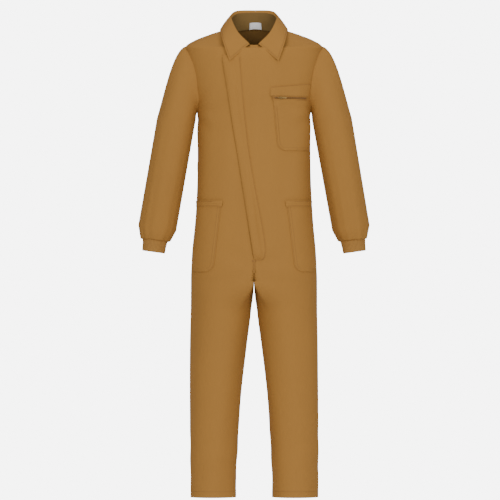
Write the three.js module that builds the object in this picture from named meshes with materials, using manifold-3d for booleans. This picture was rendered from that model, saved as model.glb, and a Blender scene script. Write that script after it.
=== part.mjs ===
// Work coverall with a slanted, concealed front zip, a shirt collar, a zipped chest pocket,
// two hip pockets and rib-knit wrist cuffs. Millimetres, +Z up, the front faces -Y and
// +X is the wearer's left. Heights are written above the leg hems; the last group
// lowers everything so that the origin lies between the wearer's shoulders.
import * as THREE from "three";
import { mergeVertices } from "three/addons/utils/BufferGeometryUtils.js";
import Module from "manifold-3d";

const wasm = await Module();
wasm.setup();

// Driving heights above the hems.
const HIP_H = 690; // where the legs meet the body
const WAIST_H = 1030;
const NECK_H = 1460; // neck seam at the sides
const ARMHOLE_H = NECK_H - 152; // middle of the armhole
const SHOULDER_H = NECK_H - 35; // the wearer's shoulders, the origin
const SLEEVE_LENGTH = 373; // from the sleeve head to the cuff
const CUFF_LENGTH = 35;

// Half widths and depths.
const CHEST_HALF = 177;
const WAIST_HALF = 177;
const HIP_HALF = 197;
const SHOULDER_HALF = 210;
const NECK_HALF = 84;
const HEM_HALF = 72;
const HEM_CENTRE = 128;
const SQUARENESS = 2.3; // exponent of the body's rounded section

// Cloth and clearances.
const CLOTH = 1.5;
const SEAM_GAP = 0.3;
const LAYER = CLOTH + 0.4; // from a cloth's middle to the underside of what is sewn on it
const NECK_DIP = 52; // how far the neck seam falls at the front
const NECK_RISE = 14; // and rises at the back

// Front closure: a straight slanted line, free edge on the wearer's right.
const CLOSURE_TOP = new THREE.Vector3(-83, -92, NECK_H - 100);
const CLOSURE_FOOT = new THREE.Vector3(14, -128, HIP_H + 52);
const FLAP_HALF = 14;
const ZIP_TOP_H = CLOSURE_TOP.z - 15;
const ZIP_FOOT_H = CLOSURE_FOOT.z + 23;
const CHAIN_HALF = 3;
const TAPE_HALF = 14;
const SLIDER_LENGTH = 14;
const SLIDER_TOP = 6.2; // how far the slider stands off the cloth

// Armholes and sleeves.
const ARMHOLE_RY = 66;
const ARMHOLE_RZ = 90;
const ARMHOLE_GAP = 4.2; // sideways, between the body and the sleeve head
const SLEEVE_OUT = 66; // from the chest's side to the middle of the sleeve
const SLEEVE_HALF = 61;
const SLEEVE_DEPTH = 62;
const SLEEVE_TOP_H = ARMHOLE_H - 132;
const CUFF_TOP_H = SLEEVE_TOP_H - SLEEVE_LENGTH;
const CUFF_HALF = 37;
const BAND_SHARE = 0.72; // share of the sleeve head that stretches when the arm lifts

// Legs.
const THIGH_BAND = 110; // height of the stretching band below the hip
const HEM_HEIGHT = 22;

// Chest pocket, on the wearer's left.
const POCKET_ZIP_H = ARMHOLE_H - 65;
const POCKET_ZIP_LEFT = 60;
const POCKET_ZIP_STRAIGHT = 134;
const POCKET_BOTTOM_H = POCKET_ZIP_H - 164;
const POCKET_TOP_H = POCKET_ZIP_H + 40;
const POCKET_CHAIN_HALF = 2.5;
const POCKET_TAPE_HALF = 6.5;
const POCKET_ZIP_OFFSET = 5;
const POCKET_SLIDER_X = 79;

// Hip pockets.
const HIP_POCKET_BOTTOM_H = HIP_H + 13;
const HIP_POCKET_TOP_H = HIP_POCKET_BOTTOM_H + 221;
const HIP_BAND_HEIGHT = 19;

// Body rings: [height, half width, depth of the back].
const SEAT = WAIST_H - HIP_H;
const SLOPE = SHOULDER_HALF - NECK_HALF;
const BODY = [
  [HIP_H, HIP_HALF, 128],
  [HIP_H + SEAT * 0.235, HIP_HALF - 4, 132],
  [HIP_H + SEAT * 0.47, HIP_HALF - 11, 124],
  [HIP_H + SEAT * 0.765, WAIST_HALF + 3, 108],
  [WAIST_H, WAIST_HALF, 100],
  [WAIST_H + 90, CHEST_HALF - 1, 108],
  [ARMHOLE_H - 98, CHEST_HALF, 116],
  [ARMHOLE_H - 18, (CHEST_HALF + SHOULDER_HALF) / 2, 112],
  [NECK_H - 110, SHOULDER_HALF - 5, 99],
  [NECK_H - 75, SHOULDER_HALF, 86],
  [NECK_H - 55, SHOULDER_HALF - 2, 80],
  [NECK_H - 34, SHOULDER_HALF - SLOPE * 0.22, 75],
  [NECK_H - 20, SHOULDER_HALF - SLOPE * 0.49, 72],
  [NECK_H - 9, SHOULDER_HALF - SLOPE * 0.746, 70],
  [NECK_H, NECK_HALF, 68],
];

// Depth of the front above the closure's straight line: [height, depth].
const UPPER_FRONT = [
  [NECK_H - 100, 98],
  [NECK_H - 70, 94],
  [NECK_H - 34, 86],
  [NECK_H - 15, 80],
  [NECK_H, 74],
];

// Leg rings: [height, centre x, half width, half depth].
const LEG = [
  [0, HEM_CENTRE, HEM_HALF, HEM_HALF - 2],
  [HIP_H * 0.08, HEM_CENTRE, HEM_HALF, HEM_HALF - 2],
  [HIP_H * 0.24, HEM_CENTRE - 3, HEM_HALF + 3, 73],
  [HIP_H * 0.46, HEM_CENTRE - 8, HEM_HALF + 8, 82],
  [HIP_H * 0.7, HIP_HALF - 87, 89, 96],
  [HIP_H - THIGH_BAND, HIP_HALF - 94, 94, 107],
  [HIP_H, HIP_HALF / 2 + 0.5, HIP_HALF / 2 - 1.5, 120],
];

// Sleeve rings below the head: [height, centre x, half width, half depth, centre y].
const SLEEVE_X = CHEST_HALF + SLEEVE_OUT;
const SLEEVE = [
  [CUFF_TOP_H, SLEEVE_X + 65, CUFF_HALF + 5, CUFF_HALF + 3, -14],
  [CUFF_TOP_H + 9, SLEEVE_X + 63, SLEEVE_HALF - 7, SLEEVE_HALF - 9, -13],
  [CUFF_TOP_H + 36, SLEEVE_X + 59, SLEEVE_HALF - 2, SLEEVE_HALF - 4, -11],
  [SLEEVE_TOP_H - SLEEVE_LENGTH * 0.74, SLEEVE_X + 50, SLEEVE_HALF, SLEEVE_HALF - 2, -8],
  [SLEEVE_TOP_H - SLEEVE_LENGTH * 0.5, SLEEVE_X + 35, SLEEVE_HALF + 2, SLEEVE_HALF, -3],
  [SLEEVE_TOP_H - SLEEVE_LENGTH * 0.257, SLEEVE_X + 18, SLEEVE_HALF + 1, SLEEVE_DEPTH, 0],
  [SLEEVE_TOP_H, SLEEVE_X, SLEEVE_HALF, SLEEVE_DEPTH, 0],
];

const CLOTH_COLOUR = 0xa2743f;
const LINING_COLOUR = 0x6e5633;

function finish(colour, roughness, metalness = 0) {
  return () => new THREE.MeshStandardMaterial({ color: colour, roughness, metalness });
}

const cloth = finish(CLOTH_COLOUR, 0.95);
const lining = finish(LINING_COLOUR, 0.95);
const knit = finish(0x9a6c3a, 1.0);
const tape = finish(0x8a6236, 0.9);
const plasticTeeth = finish(0x7d5a30, 0.5);
const metal = finish(0xb9b4a6, 0.35, 1);
const label = finish(0xf2f0ea, 0.85);

// ---- Smooth values along a table --------------------------------------------------

// Row values at a height, on a smooth curve through the rows.
function rowAt(rows, h) {
  const last = rows.length - 1;
  let i = 0;
  while (i < last - 1 && h > rows[i + 1][0]) i += 1;
  const span = rows[i + 1][0] - rows[i][0];
  const t = THREE.MathUtils.clamp((h - rows[i][0]) / span, 0, 1);
  const slope = (k, c) => {
    const low = Math.max(0, k - 1);
    const high = Math.min(last, k + 1);
    return (rows[high][c] - rows[low][c]) / (rows[high][0] - rows[low][0]);
  };
  return rows[i].map((value, c) => {
    const end = rows[i + 1][c];
    const h00 = 2 * t ** 3 - 3 * t ** 2 + 1;
    const h10 = t ** 3 - 2 * t ** 2 + t;
    const h01 = -2 * t ** 3 + 3 * t ** 2;
    const h11 = t ** 3 - t ** 2;
    return h00 * value + h10 * span * slope(i, c) + h01 * end + h11 * span * slope(i + 1, c);
  });
}

const smoothstep = (low, high, value) => THREE.MathUtils.smoothstep(value, low, high);
const lerp = THREE.MathUtils.lerp;
const power = (value, exponent) => Math.sign(value) * Math.abs(value) ** exponent;

// ---- The body's surface -----------------------------------------------------------

// Point of the closure's straight line at a height.
function closurePoint(h) {
  const share = (h - CLOSURE_FOOT.z) / (CLOSURE_TOP.z - CLOSURE_FOOT.z);
  return CLOSURE_FOOT.clone().lerp(CLOSURE_TOP, share);
}

// Middle of the closure, which leans back towards the neck above its straight part.
function closureX(h) {
  const straight = closurePoint(h).x;
  return lerp(straight, -NECK_HALF * 0.75, smoothstep(CLOSURE_TOP.z, NECK_H, h));
}

function bodyRing(h) {
  const [, half, back] = rowAt(BODY, h);
  const line = closurePoint(Math.min(h, CLOSURE_TOP.z));
  const chord = (1 - Math.abs(line.x / half) ** SQUARENESS) ** (1 / SQUARENESS);
  const straight = -line.y / chord;
  const above = rowAt(UPPER_FRONT, Math.max(h, CLOSURE_TOP.z))[1];
  const front = lerp(straight, above, smoothstep(CLOSURE_TOP.z - 10, CLOSURE_TOP.z + 25, h));
  return { half, front, back };
}

// Angle 0 is the wearer's right side, PI/2 the front, PI the left side, 3PI/2 the back.
function bodyPoint(angle, h) {
  const { half, front, back } = bodyRing(h);
  const across = -half * power(Math.cos(angle), 2 / SQUARENESS);
  const deep = power(Math.sin(angle), 2 / SQUARENESS);
  const middle = Math.sin(angle) ** 2;
  const near = smoothstep(NECK_H - 70, NECK_H, h);
  const shift = Math.sin(angle) > 0 ? -NECK_DIP * middle * near : NECK_RISE * middle * near;
  return new THREE.Vector3(across, -deep * (deep > 0 ? front : back), h + shift);
}

// Angle of the front at a sideways place.
function frontAngle(x, h) {
  const share = THREE.MathUtils.clamp(x / bodyRing(h).half, -1, 1);
  return Math.acos(-power(share, SQUARENESS / 2));
}

// Angle that stops a panel half a seam gap short of the side seam.
function sideGap(h) {
  return (SEAM_GAP / bodyRing(h).front) ** (SQUARENESS / 2);
}

// ---- Cloth solids -----------------------------------------------------------------

// Closes a geometry into one solid with its faces pointing outwards.
function closed(geometry) {
  geometry.deleteAttribute("normal");
  geometry.deleteAttribute("uv");
  const solid = mergeVertices(geometry, 1e-3);
  const at = solid.attributes.position;
  const index = solid.index.array;
  const corner = [new THREE.Vector3(), new THREE.Vector3(), new THREE.Vector3()];
  let volume = 0;
  for (let i = 0; i < index.length; i += 3) {
    corner.forEach((point, k) => point.fromBufferAttribute(at, index[i + k]));
    volume += corner[0].dot(corner[1].clone().cross(corner[2]));
  }
  for (let i = 0; volume < 0 && i < index.length; i += 3) {
    [index[i], index[i + 1]] = [index[i + 1], index[i]];
  }
  solid.computeVertexNormals();
  return solid;
}

// Outward unit normal of a surface point(u, v), u anticlockwise seen from above, v up.
function normalOf(point, u, v) {
  const step = 1e-3;
  const [u0, u1] = [Math.max(u - step, 0), Math.min(u + step, 1)];
  const [v0, v1] = [Math.max(v - step, 0), Math.min(v + step, 1)];
  const alongU = point(u1, v).sub(point(u0, v));
  const alongV = point(u, v1).sub(point(u, v0));
  return alongU.cross(alongV).normalize();
}

// A sheet of cloth: a flat box laid on the surface point(u, v). low and high are the
// distances of its two faces from the surface, numbers or functions of u and v.
function sheet(point, columns, rows, low = -CLOTH / 2, high = CLOTH / 2) {
  const box = new THREE.BoxGeometry(1, 1, 1, columns, 1, rows);
  return bend(box, (x, y, z) => [x + 0.5, z + 0.5, 0.5 - y], point, low, high);
}

// A tube of cloth: the same, closed round u.
function tube(point, columns, rows, low = -CLOTH / 2, high = CLOTH / 2) {
  const outline = [];
  for (let i = 0; i <= rows; i += 1) outline.push(new THREE.Vector2(2, i / rows));
  for (let i = rows; i >= 0; i -= 1) outline.push(new THREE.Vector2(1, i / rows));
  outline.push(outline[0].clone());
  const ring = new THREE.LatheGeometry(outline, columns);
  const place = (x, y, z) => {
    const turn = Math.atan2(x, z) / (2 * Math.PI);
    return [turn < -1e-9 ? turn + 1 : Math.abs(turn), y, Math.hypot(x, z) - 1];
  };
  return bend(ring, place, point, low, high);
}

function bend(geometry, place, point, low, high) {
  const at = geometry.attributes.position;
  const distance = (value, u, v) => (typeof value === "function" ? value(u, v) : value);
  for (let i = 0; i < at.count; i += 1) {
    const [u, v, layer] = place(at.getX(i), at.getY(i), at.getZ(i));
    const offset = lerp(distance(low, u, v), distance(high, u, v), layer);
    const spot = point(u, v).addScaledVector(normalOf(point, u, v), offset);
    at.setXYZ(i, spot.x, spot.y, spot.z);
  }
  return closed(geometry);
}

// Surface point of the body between two side limits and two heights. The limits are
// angles given as functions of the height.
function bodyPatch(from, to, bottom, top) {
  return (u, v) => {
    const h = lerp(bottom, top, v);
    return bodyPoint(lerp(from(h), to(h), u), h);
  };
}

function manifold(geometry) {
  return new wasm.Manifold(new wasm.Mesh({
    numProp: 3,
    vertProperties: new Float32Array(geometry.attributes.position.array),
    triVerts: new Uint32Array(geometry.index.array),
  }));
}

function cut(geometry, ...cutters) {
  let solid = manifold(geometry);
  for (const cutter of cutters) solid = solid.subtract(manifold(cutter));
  const mesh = solid.getMesh();
  const result = new THREE.BufferGeometry();
  result.setAttribute("position", new THREE.BufferAttribute(mesh.vertProperties, 3));
  result.setIndex(new THREE.BufferAttribute(mesh.triVerts, 1));
  return result;
}

const suit = new THREE.Group();
suit.position.z = -SHOULDER_H;

function add(name, geometry, material, parent = suit) {
  const mesh = new THREE.Mesh(geometry, material());
  mesh.name = name;
  parent.add(mesh);
  return mesh;
}

// ---- Body panels ------------------------------------------------------------------

// Oval through the side of the body where a sleeve is sewn in.
function armholeCutter(side) {
  const oval = new THREE.CylinderGeometry(1, 1, 200, 28);
  oval.rotateZ(Math.PI / 2);
  oval.scale(1, ARMHOLE_RY, ARMHOLE_RZ);
  oval.translate(side * 200, 0, ARMHOLE_H);
  return closed(oval);
}

const armholes = [armholeCutter(-1), armholeCutter(1)];
const panelEdge = CHAIN_HALF + 1;
const ROW_HEIGHT = 43; // longest step up a panel
const bendRows = (v) => (v < 0.62 ? (v / 0.62) * 0.83 : 0.83 + ((v - 0.62) / 0.38) * 0.17);

function bodyPanel(name, from, to, columns, bottom, top, material = cloth) {
  const rows = Math.round((top - bottom) / ROW_HEIGHT);
  const patch = bodyPatch(from, to, bottom, top);
  const spread = top === NECK_H ? (u, v) => patch(u, bendRows(v)) : patch;
  const panel = sheet(spread, columns, rows);
  return add(name, top > ARMHOLE_H ? cut(panel, ...armholes) : panel, material);
}

const rightSide = (h) => sideGap(h);
const leftSide = (h) => Math.PI - sideGap(h);
const closureAngle = (shift) => (h) => frontAngle(closureX(h) + shift, h);

bodyPanel("right_front_panel", rightSide, closureAngle(-panelEdge), 7, HIP_H, NECK_H);
bodyPanel("left_front_panel", closureAngle(panelEdge), leftSide, 10, HIP_H, NECK_H);

const backLeft = (h) => Math.PI + sideGap(h);
const backRight = (h) => 2 * Math.PI - sideGap(h);
const centreBack = (shift) => () => 1.5 * Math.PI + shift;
const upperBottom = WAIST_H + SEAM_GAP / 2;
const seatTop = WAIST_H - SEAM_GAP / 2;
bodyPanel("upper_back_panel", backLeft, backRight, 16, upperBottom, NECK_H);
bodyPanel("left_seat_panel", backLeft, centreBack(-0.002), 7, HIP_H, seatTop);
bodyPanel("right_seat_panel", centreBack(0.002), backRight, 7, HIP_H, seatTop);

// Elastic casing across the back waist.
const casing = bodyPatch(() => Math.PI + 0.2, () => 2 * Math.PI - 0.2, WAIST_H - 20, WAIST_H + 20);
add("waist_elastic_casing", sheet(casing, 16, 2, LAYER + 1.2, LAYER + 3.6), cloth);

// Short seam from the foot of the closure to the crotch, with the bar of stitches above.
const seamHalf = 2.5;
const flySeam = bodyPatch(
  (h) => frontAngle(-seamHalf, h), (h) => frontAngle(seamHalf, h), HIP_H + 1, CLOSURE_FOOT.z - 8);
add("centre_front_seam", sheet(flySeam, 1, 3, LAYER, LAYER + 0.9), cloth);
const barHalf = 6;
const bar = bodyPatch((h) => frontAngle(-barHalf, h), (h) => frontAngle(barHalf, h),
  CLOSURE_FOOT.z - 7, CLOSURE_FOOT.z - 4);
add("closure_bartack", sheet(bar, 1, 1, LAYER, LAYER + 1.2), cloth);

// ---- Front closure ----------------------------------------------------------------

// Frame of the closure's line: along it, across it and out of the cloth.
const zipFrame = new THREE.Group();
const zipTop = closurePoint(ZIP_TOP_H);
const zipDown = CLOSURE_FOOT.clone().sub(CLOSURE_TOP).normalize();
const bellyH = (CLOSURE_TOP.z + CLOSURE_FOOT.z) / 2;
const belly = bodyPatch(closureAngle(-FLAP_HALF), closureAngle(FLAP_HALF), bellyH - 50, bellyH + 50);
const rawOut = normalOf(belly, 0.5, 0.5);
const zipOut = rawOut.clone().addScaledVector(zipDown, -rawOut.dot(zipDown)).normalize();
const zipAcross = zipDown.clone().cross(zipOut).normalize();
zipFrame.position.copy(zipTop);
zipFrame.setRotationFromMatrix(new THREE.Matrix4().makeBasis(zipAcross, zipDown, zipOut));
suit.add(zipFrame);

// A bar in the closure's frame: x across, y down the zip, z out of the cloth.
function zipBar(name, material, x0, x1, y0, y1, z0, z1, parent = zipFrame) {
  const bar = new THREE.BoxGeometry(x1 - x0, y1 - y0, z1 - z0);
  bar.translate((x0 + x1) / 2, (y0 + y1) / 2, (z0 + z1) / 2);
  return add(name, closed(bar), material, parent);
}

const zipLength = closurePoint(ZIP_FOOT_H).distanceTo(zipTop);
const chainFoot = zipLength - 6;
const chainTop = SLIDER_LENGTH + 1;
const halfGap = SEAM_GAP / 2;
zipBar("zip_chain_left", plasticTeeth, -CHAIN_HALF, -halfGap, 2, chainFoot, -1, 1.5);
zipBar("zip_chain_right", plasticTeeth, halfGap, CHAIN_HALF, 2, chainFoot, -1, 1.5);
zipBar("zip_top_stop", metal, -CHAIN_HALF, CHAIN_HALF, -3, 1.5, -1, 1.9);
zipBar("zip_bottom_stop", metal, -CHAIN_HALF, CHAIN_HALF, chainFoot + 0.5, zipLength, -1, 1.9);

// Zip tapes, sewn behind the two fronts.
for (const [name, from, to] of [
  ["zip_tape_right", -TAPE_HALF, -halfGap],
  ["zip_tape_left", halfGap, TAPE_HALF],
]) {
  const strip = bodyPatch(closureAngle(from), closureAngle(to), ZIP_FOOT_H - 8, ZIP_TOP_H + 8);
  add(name, sheet(strip, 1, 18, -3.8, -2.7), tape);
}

// Slider with its fixed pull tab, resting at the top of the closed zip.
const sliderShape = new THREE.Shape();
sliderShape.moveTo(-4, 0);
sliderShape.lineTo(4, 0);
sliderShape.lineTo(4.5, 4);
sliderShape.lineTo(3.2, SLIDER_LENGTH);
sliderShape.lineTo(-3.2, SLIDER_LENGTH);
sliderShape.lineTo(-4.5, 4);
sliderShape.closePath();
const sliderPlate = new THREE.ExtrudeGeometry(sliderShape, { depth: 1.6, bevelEnabled: false });
sliderPlate.translate(0, 3, 2.2);
add("zip_slider", closed(sliderPlate), metal, zipFrame);
zipBar("zip_pull_tab", metal, -3, 3, 5, 34, 4.2, SLIDER_TOP);

// Flap that hides the zip: sewn down along the wearer's left, free on the right.
const flapLift = 7.4;
const flapFoot = CLOSURE_FOOT.z + 1;
const flapTop = CLOSURE_TOP.z + 12;
const flapPatch = bodyPatch(closureAngle(-FLAP_HALF), closureAngle(FLAP_HALF), flapFoot, flapTop);
const flapRise = (u, v) => {
  const h = lerp(flapFoot, flapTop, v);
  const fade = smoothstep(flapFoot - 2, flapFoot + 14, h) * (1 - smoothstep(flapTop - 20, flapTop, h));
  return LAYER + flapLift * fade * Math.sin(Math.PI * u) ** 0.7;
};
add("closure_flap", sheet(flapPatch, 4, 20, flapRise, (u, v) => flapRise(u, v) + CLOTH), cloth);

// ---- Collar -----------------------------------------------------------------------

// A smooth curve round the neck, mirrored from its right half: [x, y, rise above the
// side of the neck seam].
function neckCurve(points) {
  const right = points.map(([x, y, rise]) => new THREE.Vector3(-x, y, NECK_H + rise));
  const left = right.slice(0, -1).map((spot) => new THREE.Vector3(-spot.x, spot.y, spot.z)).reverse();
  return new THREE.CatmullRomCurve3([...right, ...left], false, "centripetal");
}

const neckSeam = neckCurve([
  [14, -75, -48], [50, -60, -31], [76, -30, -5], [80, 4, 3], [62, 42, 10], [0, 63, 17]]);
const standTop = neckCurve([
  [14, -80, -44], [46, -64, -16], [66, -29, 8], [69, 6, 21], [51, 38, 39], [0, 56, 56]]);
const foldLine = neckCurve([
  [14, -84, -41], [49, -68, -12], [70, -31, 11], [73, 7, 25], [54, 42, 43], [0, 61, 60]]);
const leafEdge = neckCurve([
  [77, -108, -94], [102, -93, -48], [121, -40, -10], [120, 12, 3], [84, 68, 7], [0, 94, 7]]);

// Ruled cloth between a lower and an upper curve, with a bulge between them.
function ruled(lower, upper, bulge) {
  return (u, v) => {
    const spot = lower.getPoint(u).lerp(upper.getPoint(u), v);
    const away = new THREE.Vector3(spot.x, spot.y, 0).normalize();
    return spot.addScaledVector(away, bulge * Math.sin(Math.PI * v));
  };
}

const standSurface = ruled(neckSeam, standTop, 0);
add("collar_stand", sheet(standSurface, 20, 1), lining);
const leafSurface = ruled(leafEdge, foldLine, 7);
add("collar_leaf", sheet(leafSurface, 22, 3), cloth);

// Blank neck label inside the back of the collar stand.
const labelHalf = 0.045;
const labelPatch = (u, v) => standSurface(lerp(0.5 - labelHalf, 0.5 + labelHalf, u), lerp(0.1, 0.55, v));
add("neck_label", sheet(labelPatch, 4, 1, -2.4, -1.5), label);

// ---- Pockets ----------------------------------------------------------------------

// Angle short of the side at which a pocket ends: near the side seam, and in front of
// the armhole where it passes one.
function pocketOuter(h) {
  const armpit = ARMHOLE_H - ARMHOLE_RZ;
  const past = smoothstep(armpit - 75, armpit + 35, h);
  const y = lerp(28, ARMHOLE_RY + 7, past);
  return Math.asin((y / bodyRing(h).front) ** (SQUARENESS / 2));
}

// Patch on the front between an inner edge and the side seam; the inner bottom corner
// is rounded.
function pocketPatch(innerX, side, bottom, top, corner) {
  return (u, v) => {
    const h = lerp(bottom, top, v);
    const rise = THREE.MathUtils.clamp((h - bottom) / corner, 0, 1);
    const inset = corner * (1 - Math.sqrt(1 - (1 - rise) ** 2));
    const inner = frontAngle(side * (innerX(h) + inset), h);
    const outer = side < 0 ? pocketOuter(h) : Math.PI - pocketOuter(h);
    return side < 0 ? bodyPoint(lerp(outer, inner, u), h) : bodyPoint(lerp(inner, outer, u), h);
  };
}

const between = (h, h0, x0, h1, x1) => lerp(x0, x1, (h - h0) / (h1 - h0));
const chestInner = (h) => between(h, POCKET_BOTTOM_H, 73, POCKET_ZIP_H, 58);
const hipInner = (h) => between(h, HIP_POCKET_BOTTOM_H, 126, HIP_POCKET_TOP_H, 100);
const patchTop = POCKET_ZIP_H - POCKET_TAPE_HALF - SEAM_GAP;
const bandFoot = POCKET_ZIP_H + POCKET_TAPE_HALF + SEAM_GAP;

const pocketOut = 3; // the patches stand a little off the body
const chestPatch = pocketPatch(chestInner, 1, POCKET_BOTTOM_H, patchTop, 26);
add("chest_pocket_patch", sheet(chestPatch, 6, 7, pocketOut, pocketOut + CLOTH), cloth);
const chestBand = pocketPatch(() => 45, 1, bandFoot, POCKET_TOP_H, 1);
add("chest_pocket_band", sheet(chestBand, 7, 1, pocketOut, pocketOut + 2), cloth);

for (const [name, side] of [["right", -1], ["left", 1]]) {
  const top = HIP_POCKET_TOP_H - HIP_BAND_HEIGHT - SEAM_GAP;
  const patch = pocketPatch(hipInner, side, HIP_POCKET_BOTTOM_H, top, 26);
  add(`${name}_hip_pocket`, sheet(patch, 6, 7, pocketOut, pocketOut + CLOTH), cloth);
  const band = pocketPatch(hipInner, side, top + SEAM_GAP, HIP_POCKET_TOP_H, 1);
  add(`${name}_hip_pocket_band`, sheet(band, 6, 1, pocketOut, pocketOut + 2.4), cloth);
}

// Chest pocket zip: straight where the slider runs, then round towards the side seam.
function pocketZipLine(x) {
  const onBody = (place) => {
    const patch = bodyPatch((h) => frontAngle(place - 1, h), (h) => frontAngle(place + 1, h),
      POCKET_ZIP_H - 1, POCKET_ZIP_H + 1);
    return patch(0.5, 0.5).addScaledVector(normalOf(patch, 0.5, 0.5), POCKET_ZIP_OFFSET);
  };
  if (x > POCKET_ZIP_STRAIGHT) return onBody(x);
  const left = onBody(POCKET_ZIP_LEFT);
  const right = onBody(POCKET_ZIP_STRAIGHT);
  return left.lerp(right, (x - POCKET_ZIP_LEFT) / (POCKET_ZIP_STRAIGHT - POCKET_ZIP_LEFT));
}

const pocketZipEnd = 160;
function pocketStrip(x0, x1, halfHeight) {
  return (u, v) => pocketZipLine(lerp(x0, x1, u)).add(new THREE.Vector3(0, 0, lerp(-halfHeight, halfHeight, v)));
}

add("pocket_zip_tape", sheet(pocketStrip(POCKET_ZIP_LEFT - 1, pocketZipEnd, POCKET_TAPE_HALF), 8, 1, -0.6, 0.6), tape);
add("pocket_zip_chain",
  sheet(pocketStrip(POCKET_ZIP_LEFT + 4, pocketZipEnd - 2, POCKET_CHAIN_HALF), 8, 1, 0.9, 2.4), plasticTeeth);

const pocketFrame = new THREE.Group();
const pocketAlong = pocketZipLine(POCKET_ZIP_STRAIGHT).sub(pocketZipLine(POCKET_ZIP_LEFT)).normalize();
const pocketOutward = pocketAlong.clone().cross(new THREE.Vector3(0, 0, 1)).normalize();
pocketFrame.position.copy(pocketZipLine(POCKET_SLIDER_X));
pocketFrame.setRotationFromMatrix(
  new THREE.Matrix4().makeBasis(pocketAlong, pocketOutward.clone().negate(), new THREE.Vector3(0, 0, 1)));
suit.add(pocketFrame);

// Slider body, its crown and the pull that hinges in it. x runs along the zip, -y is out.
function pocketBox(name, x0, x1, y0, y1, z0, z1) {
  const box = new THREE.BoxGeometry(x1 - x0, y1 - y0, z1 - z0);
  box.translate((x0 + x1) / 2, -(y0 + y1) / 2, (z0 + z1) / 2);
  return add(name, closed(box), metal, pocketFrame);
}

pocketBox("pocket_zip_slider", -5, 6, 2.8, 4.4, -4, 4);
const crown = new THREE.Shape();
crown.moveTo(-3, 4.7);
crown.lineTo(3.4, 4.7);
crown.lineTo(3.4, 8.6);
crown.lineTo(-3, 8.6);
crown.closePath();
const eye = new THREE.Path();
eye.moveTo(-1.6, 5.2);
eye.lineTo(-1.6, 7.8);
eye.lineTo(2.2, 7.8);
eye.lineTo(2.2, 5.2);
eye.closePath();
crown.holes.push(eye);
const crownSolid = new THREE.ExtrudeGeometry(crown, { depth: 1.4, bevelEnabled: false });
crownSolid.scale(1, -1, 1);
crownSolid.translate(0, 0, -0.7);
add("pocket_zip_crown", closed(crownSolid), metal, pocketFrame);

const pullLength = 20;
const pullShape = new THREE.Shape();
pullShape.moveTo(-1.1, -2.8);
pullShape.lineTo(pullLength, -2.2);
pullShape.lineTo(pullLength, 2.2);
pullShape.lineTo(-1.1, 2.8);
pullShape.closePath();
const pullEye = new THREE.Path();
pullEye.moveTo(0.9, -1.6);
pullEye.lineTo(0.9, 1.6);
pullEye.lineTo(5.2, 1.6);
pullEye.lineTo(5.2, -1.6);
pullEye.closePath();
pullShape.holes.push(pullEye);
const pull = new THREE.ExtrudeGeometry(pullShape, { depth: 1.1, bevelEnabled: false });
pull.rotateX(Math.PI / 2);
pull.translate(0, -5.95, 0);
add("pocket_zip_pull", closed(pull), metal, pocketFrame);

// ---- Sleeves ----------------------------------------------------------------------

// Where a point of the armhole lies on the side of the body, for the right side.
function armholePoint(turn) {
  const y = -(ARMHOLE_RY + 3) * Math.sin(turn);
  const h = ARMHOLE_H + (ARMHOLE_RZ + 3) * Math.cos(turn);
  const { half, front, back } = bodyRing(h);
  const deep = Math.abs(y) / (y < 0 ? front : back);
  const x = half * (1 - deep ** SQUARENESS) ** (1 / SQUARENESS);
  return new THREE.Vector3(-x - ARMHOLE_GAP, y, h);
}

// Point of a sleeve ring below the head.
function sleeveRing(turn, h) {
  const [, x, half, depth, y] = rowAt(SLEEVE, h);
  const above = rowAt(SLEEVE, Math.min(h + 8, SLEEVE_TOP_H));
  const below = rowAt(SLEEVE, Math.max(h - 8, CUFF_TOP_H));
  const lean = (below[1] - above[1]) / (above[0] - below[0]);
  const outward = new THREE.Vector3(-1, 0, lean).normalize();
  const spot = new THREE.Vector3(-x, y - depth * Math.sin(turn), h);
  return spot.addScaledVector(outward, half * Math.cos(turn));
}

const sleeveAxis = new THREE.Vector3(-0.19, 0, -0.98);

// The sleeve head swings from the armhole's upright ring to the sleeve's level one.
function sleeveHead(turn, share) {
  const start = armholePoint(turn);
  const end = sleeveRing(turn, SLEEVE_TOP_H);
  const reach = start.distanceTo(end) * 0.35;
  const leave = start.clone().add(new THREE.Vector3(-1, 0, -0.3).normalize().multiplyScalar(reach));
  const arrive = end.clone().addScaledVector(sleeveAxis, -reach);
  return new THREE.CubicBezierCurve3(start, leave, arrive, end).getPoint(share);
}

// u runs round the sleeve, v up it; the mirrored sleeve turns the other way.
function sleeveSurface(side, low, high) {
  return (u, v) => {
    const turn = 2 * Math.PI * (side < 0 ? u : 1 - u);
    const along = lerp(low, high, v);
    const spot = along > 1
      ? sleeveHead(turn, 2 - along)
      : sleeveRing(turn, lerp(CUFF_TOP_H, SLEEVE_TOP_H, along));
    if (side > 0) spot.x = -spot.x;
    return spot;
  };
}

// Knit cuff: a straight tube leaning like the end of the sleeve.
const cuffLean = 0.21;
function cuffSurface(side) {
  return (u, v) => {
    const turn = 2 * Math.PI * (side < 0 ? u : 1 - u);
    const length = CUFF_LENGTH;
    const axis = new THREE.Vector3(-cuffLean, 0, -1).normalize();
    const across = new THREE.Vector3(-1, 0, cuffLean).normalize();
    const spot = new THREE.Vector3(-SLEEVE_X - 65, -14, CUFF_TOP_H)
      .addScaledVector(axis, 4 + length * (1 - v))
      .addScaledVector(across, CUFF_HALF * Math.cos(turn));
    spot.y -= (CUFF_HALF - 2) * Math.sin(turn);
    if (side > 0) spot.x = -spot.x;
    return spot;
  };
}

for (const [name, side] of [["right", -1], ["left", 1]]) {
  const bandEnd = 2 - BAND_SHARE;
  add(`${name}_sleeve_head`, tube(sleeveSurface(side, bandEnd + 0.015, 2), 16, 4), cloth);
  add(`${name}_sleeve`, tube(sleeveSurface(side, 0, bandEnd), 16, 9), cloth);
  add(`${name}_knit_cuff`, tube(cuffSurface(side), 16, 1, -1.2, 1.2), knit);
}

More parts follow.
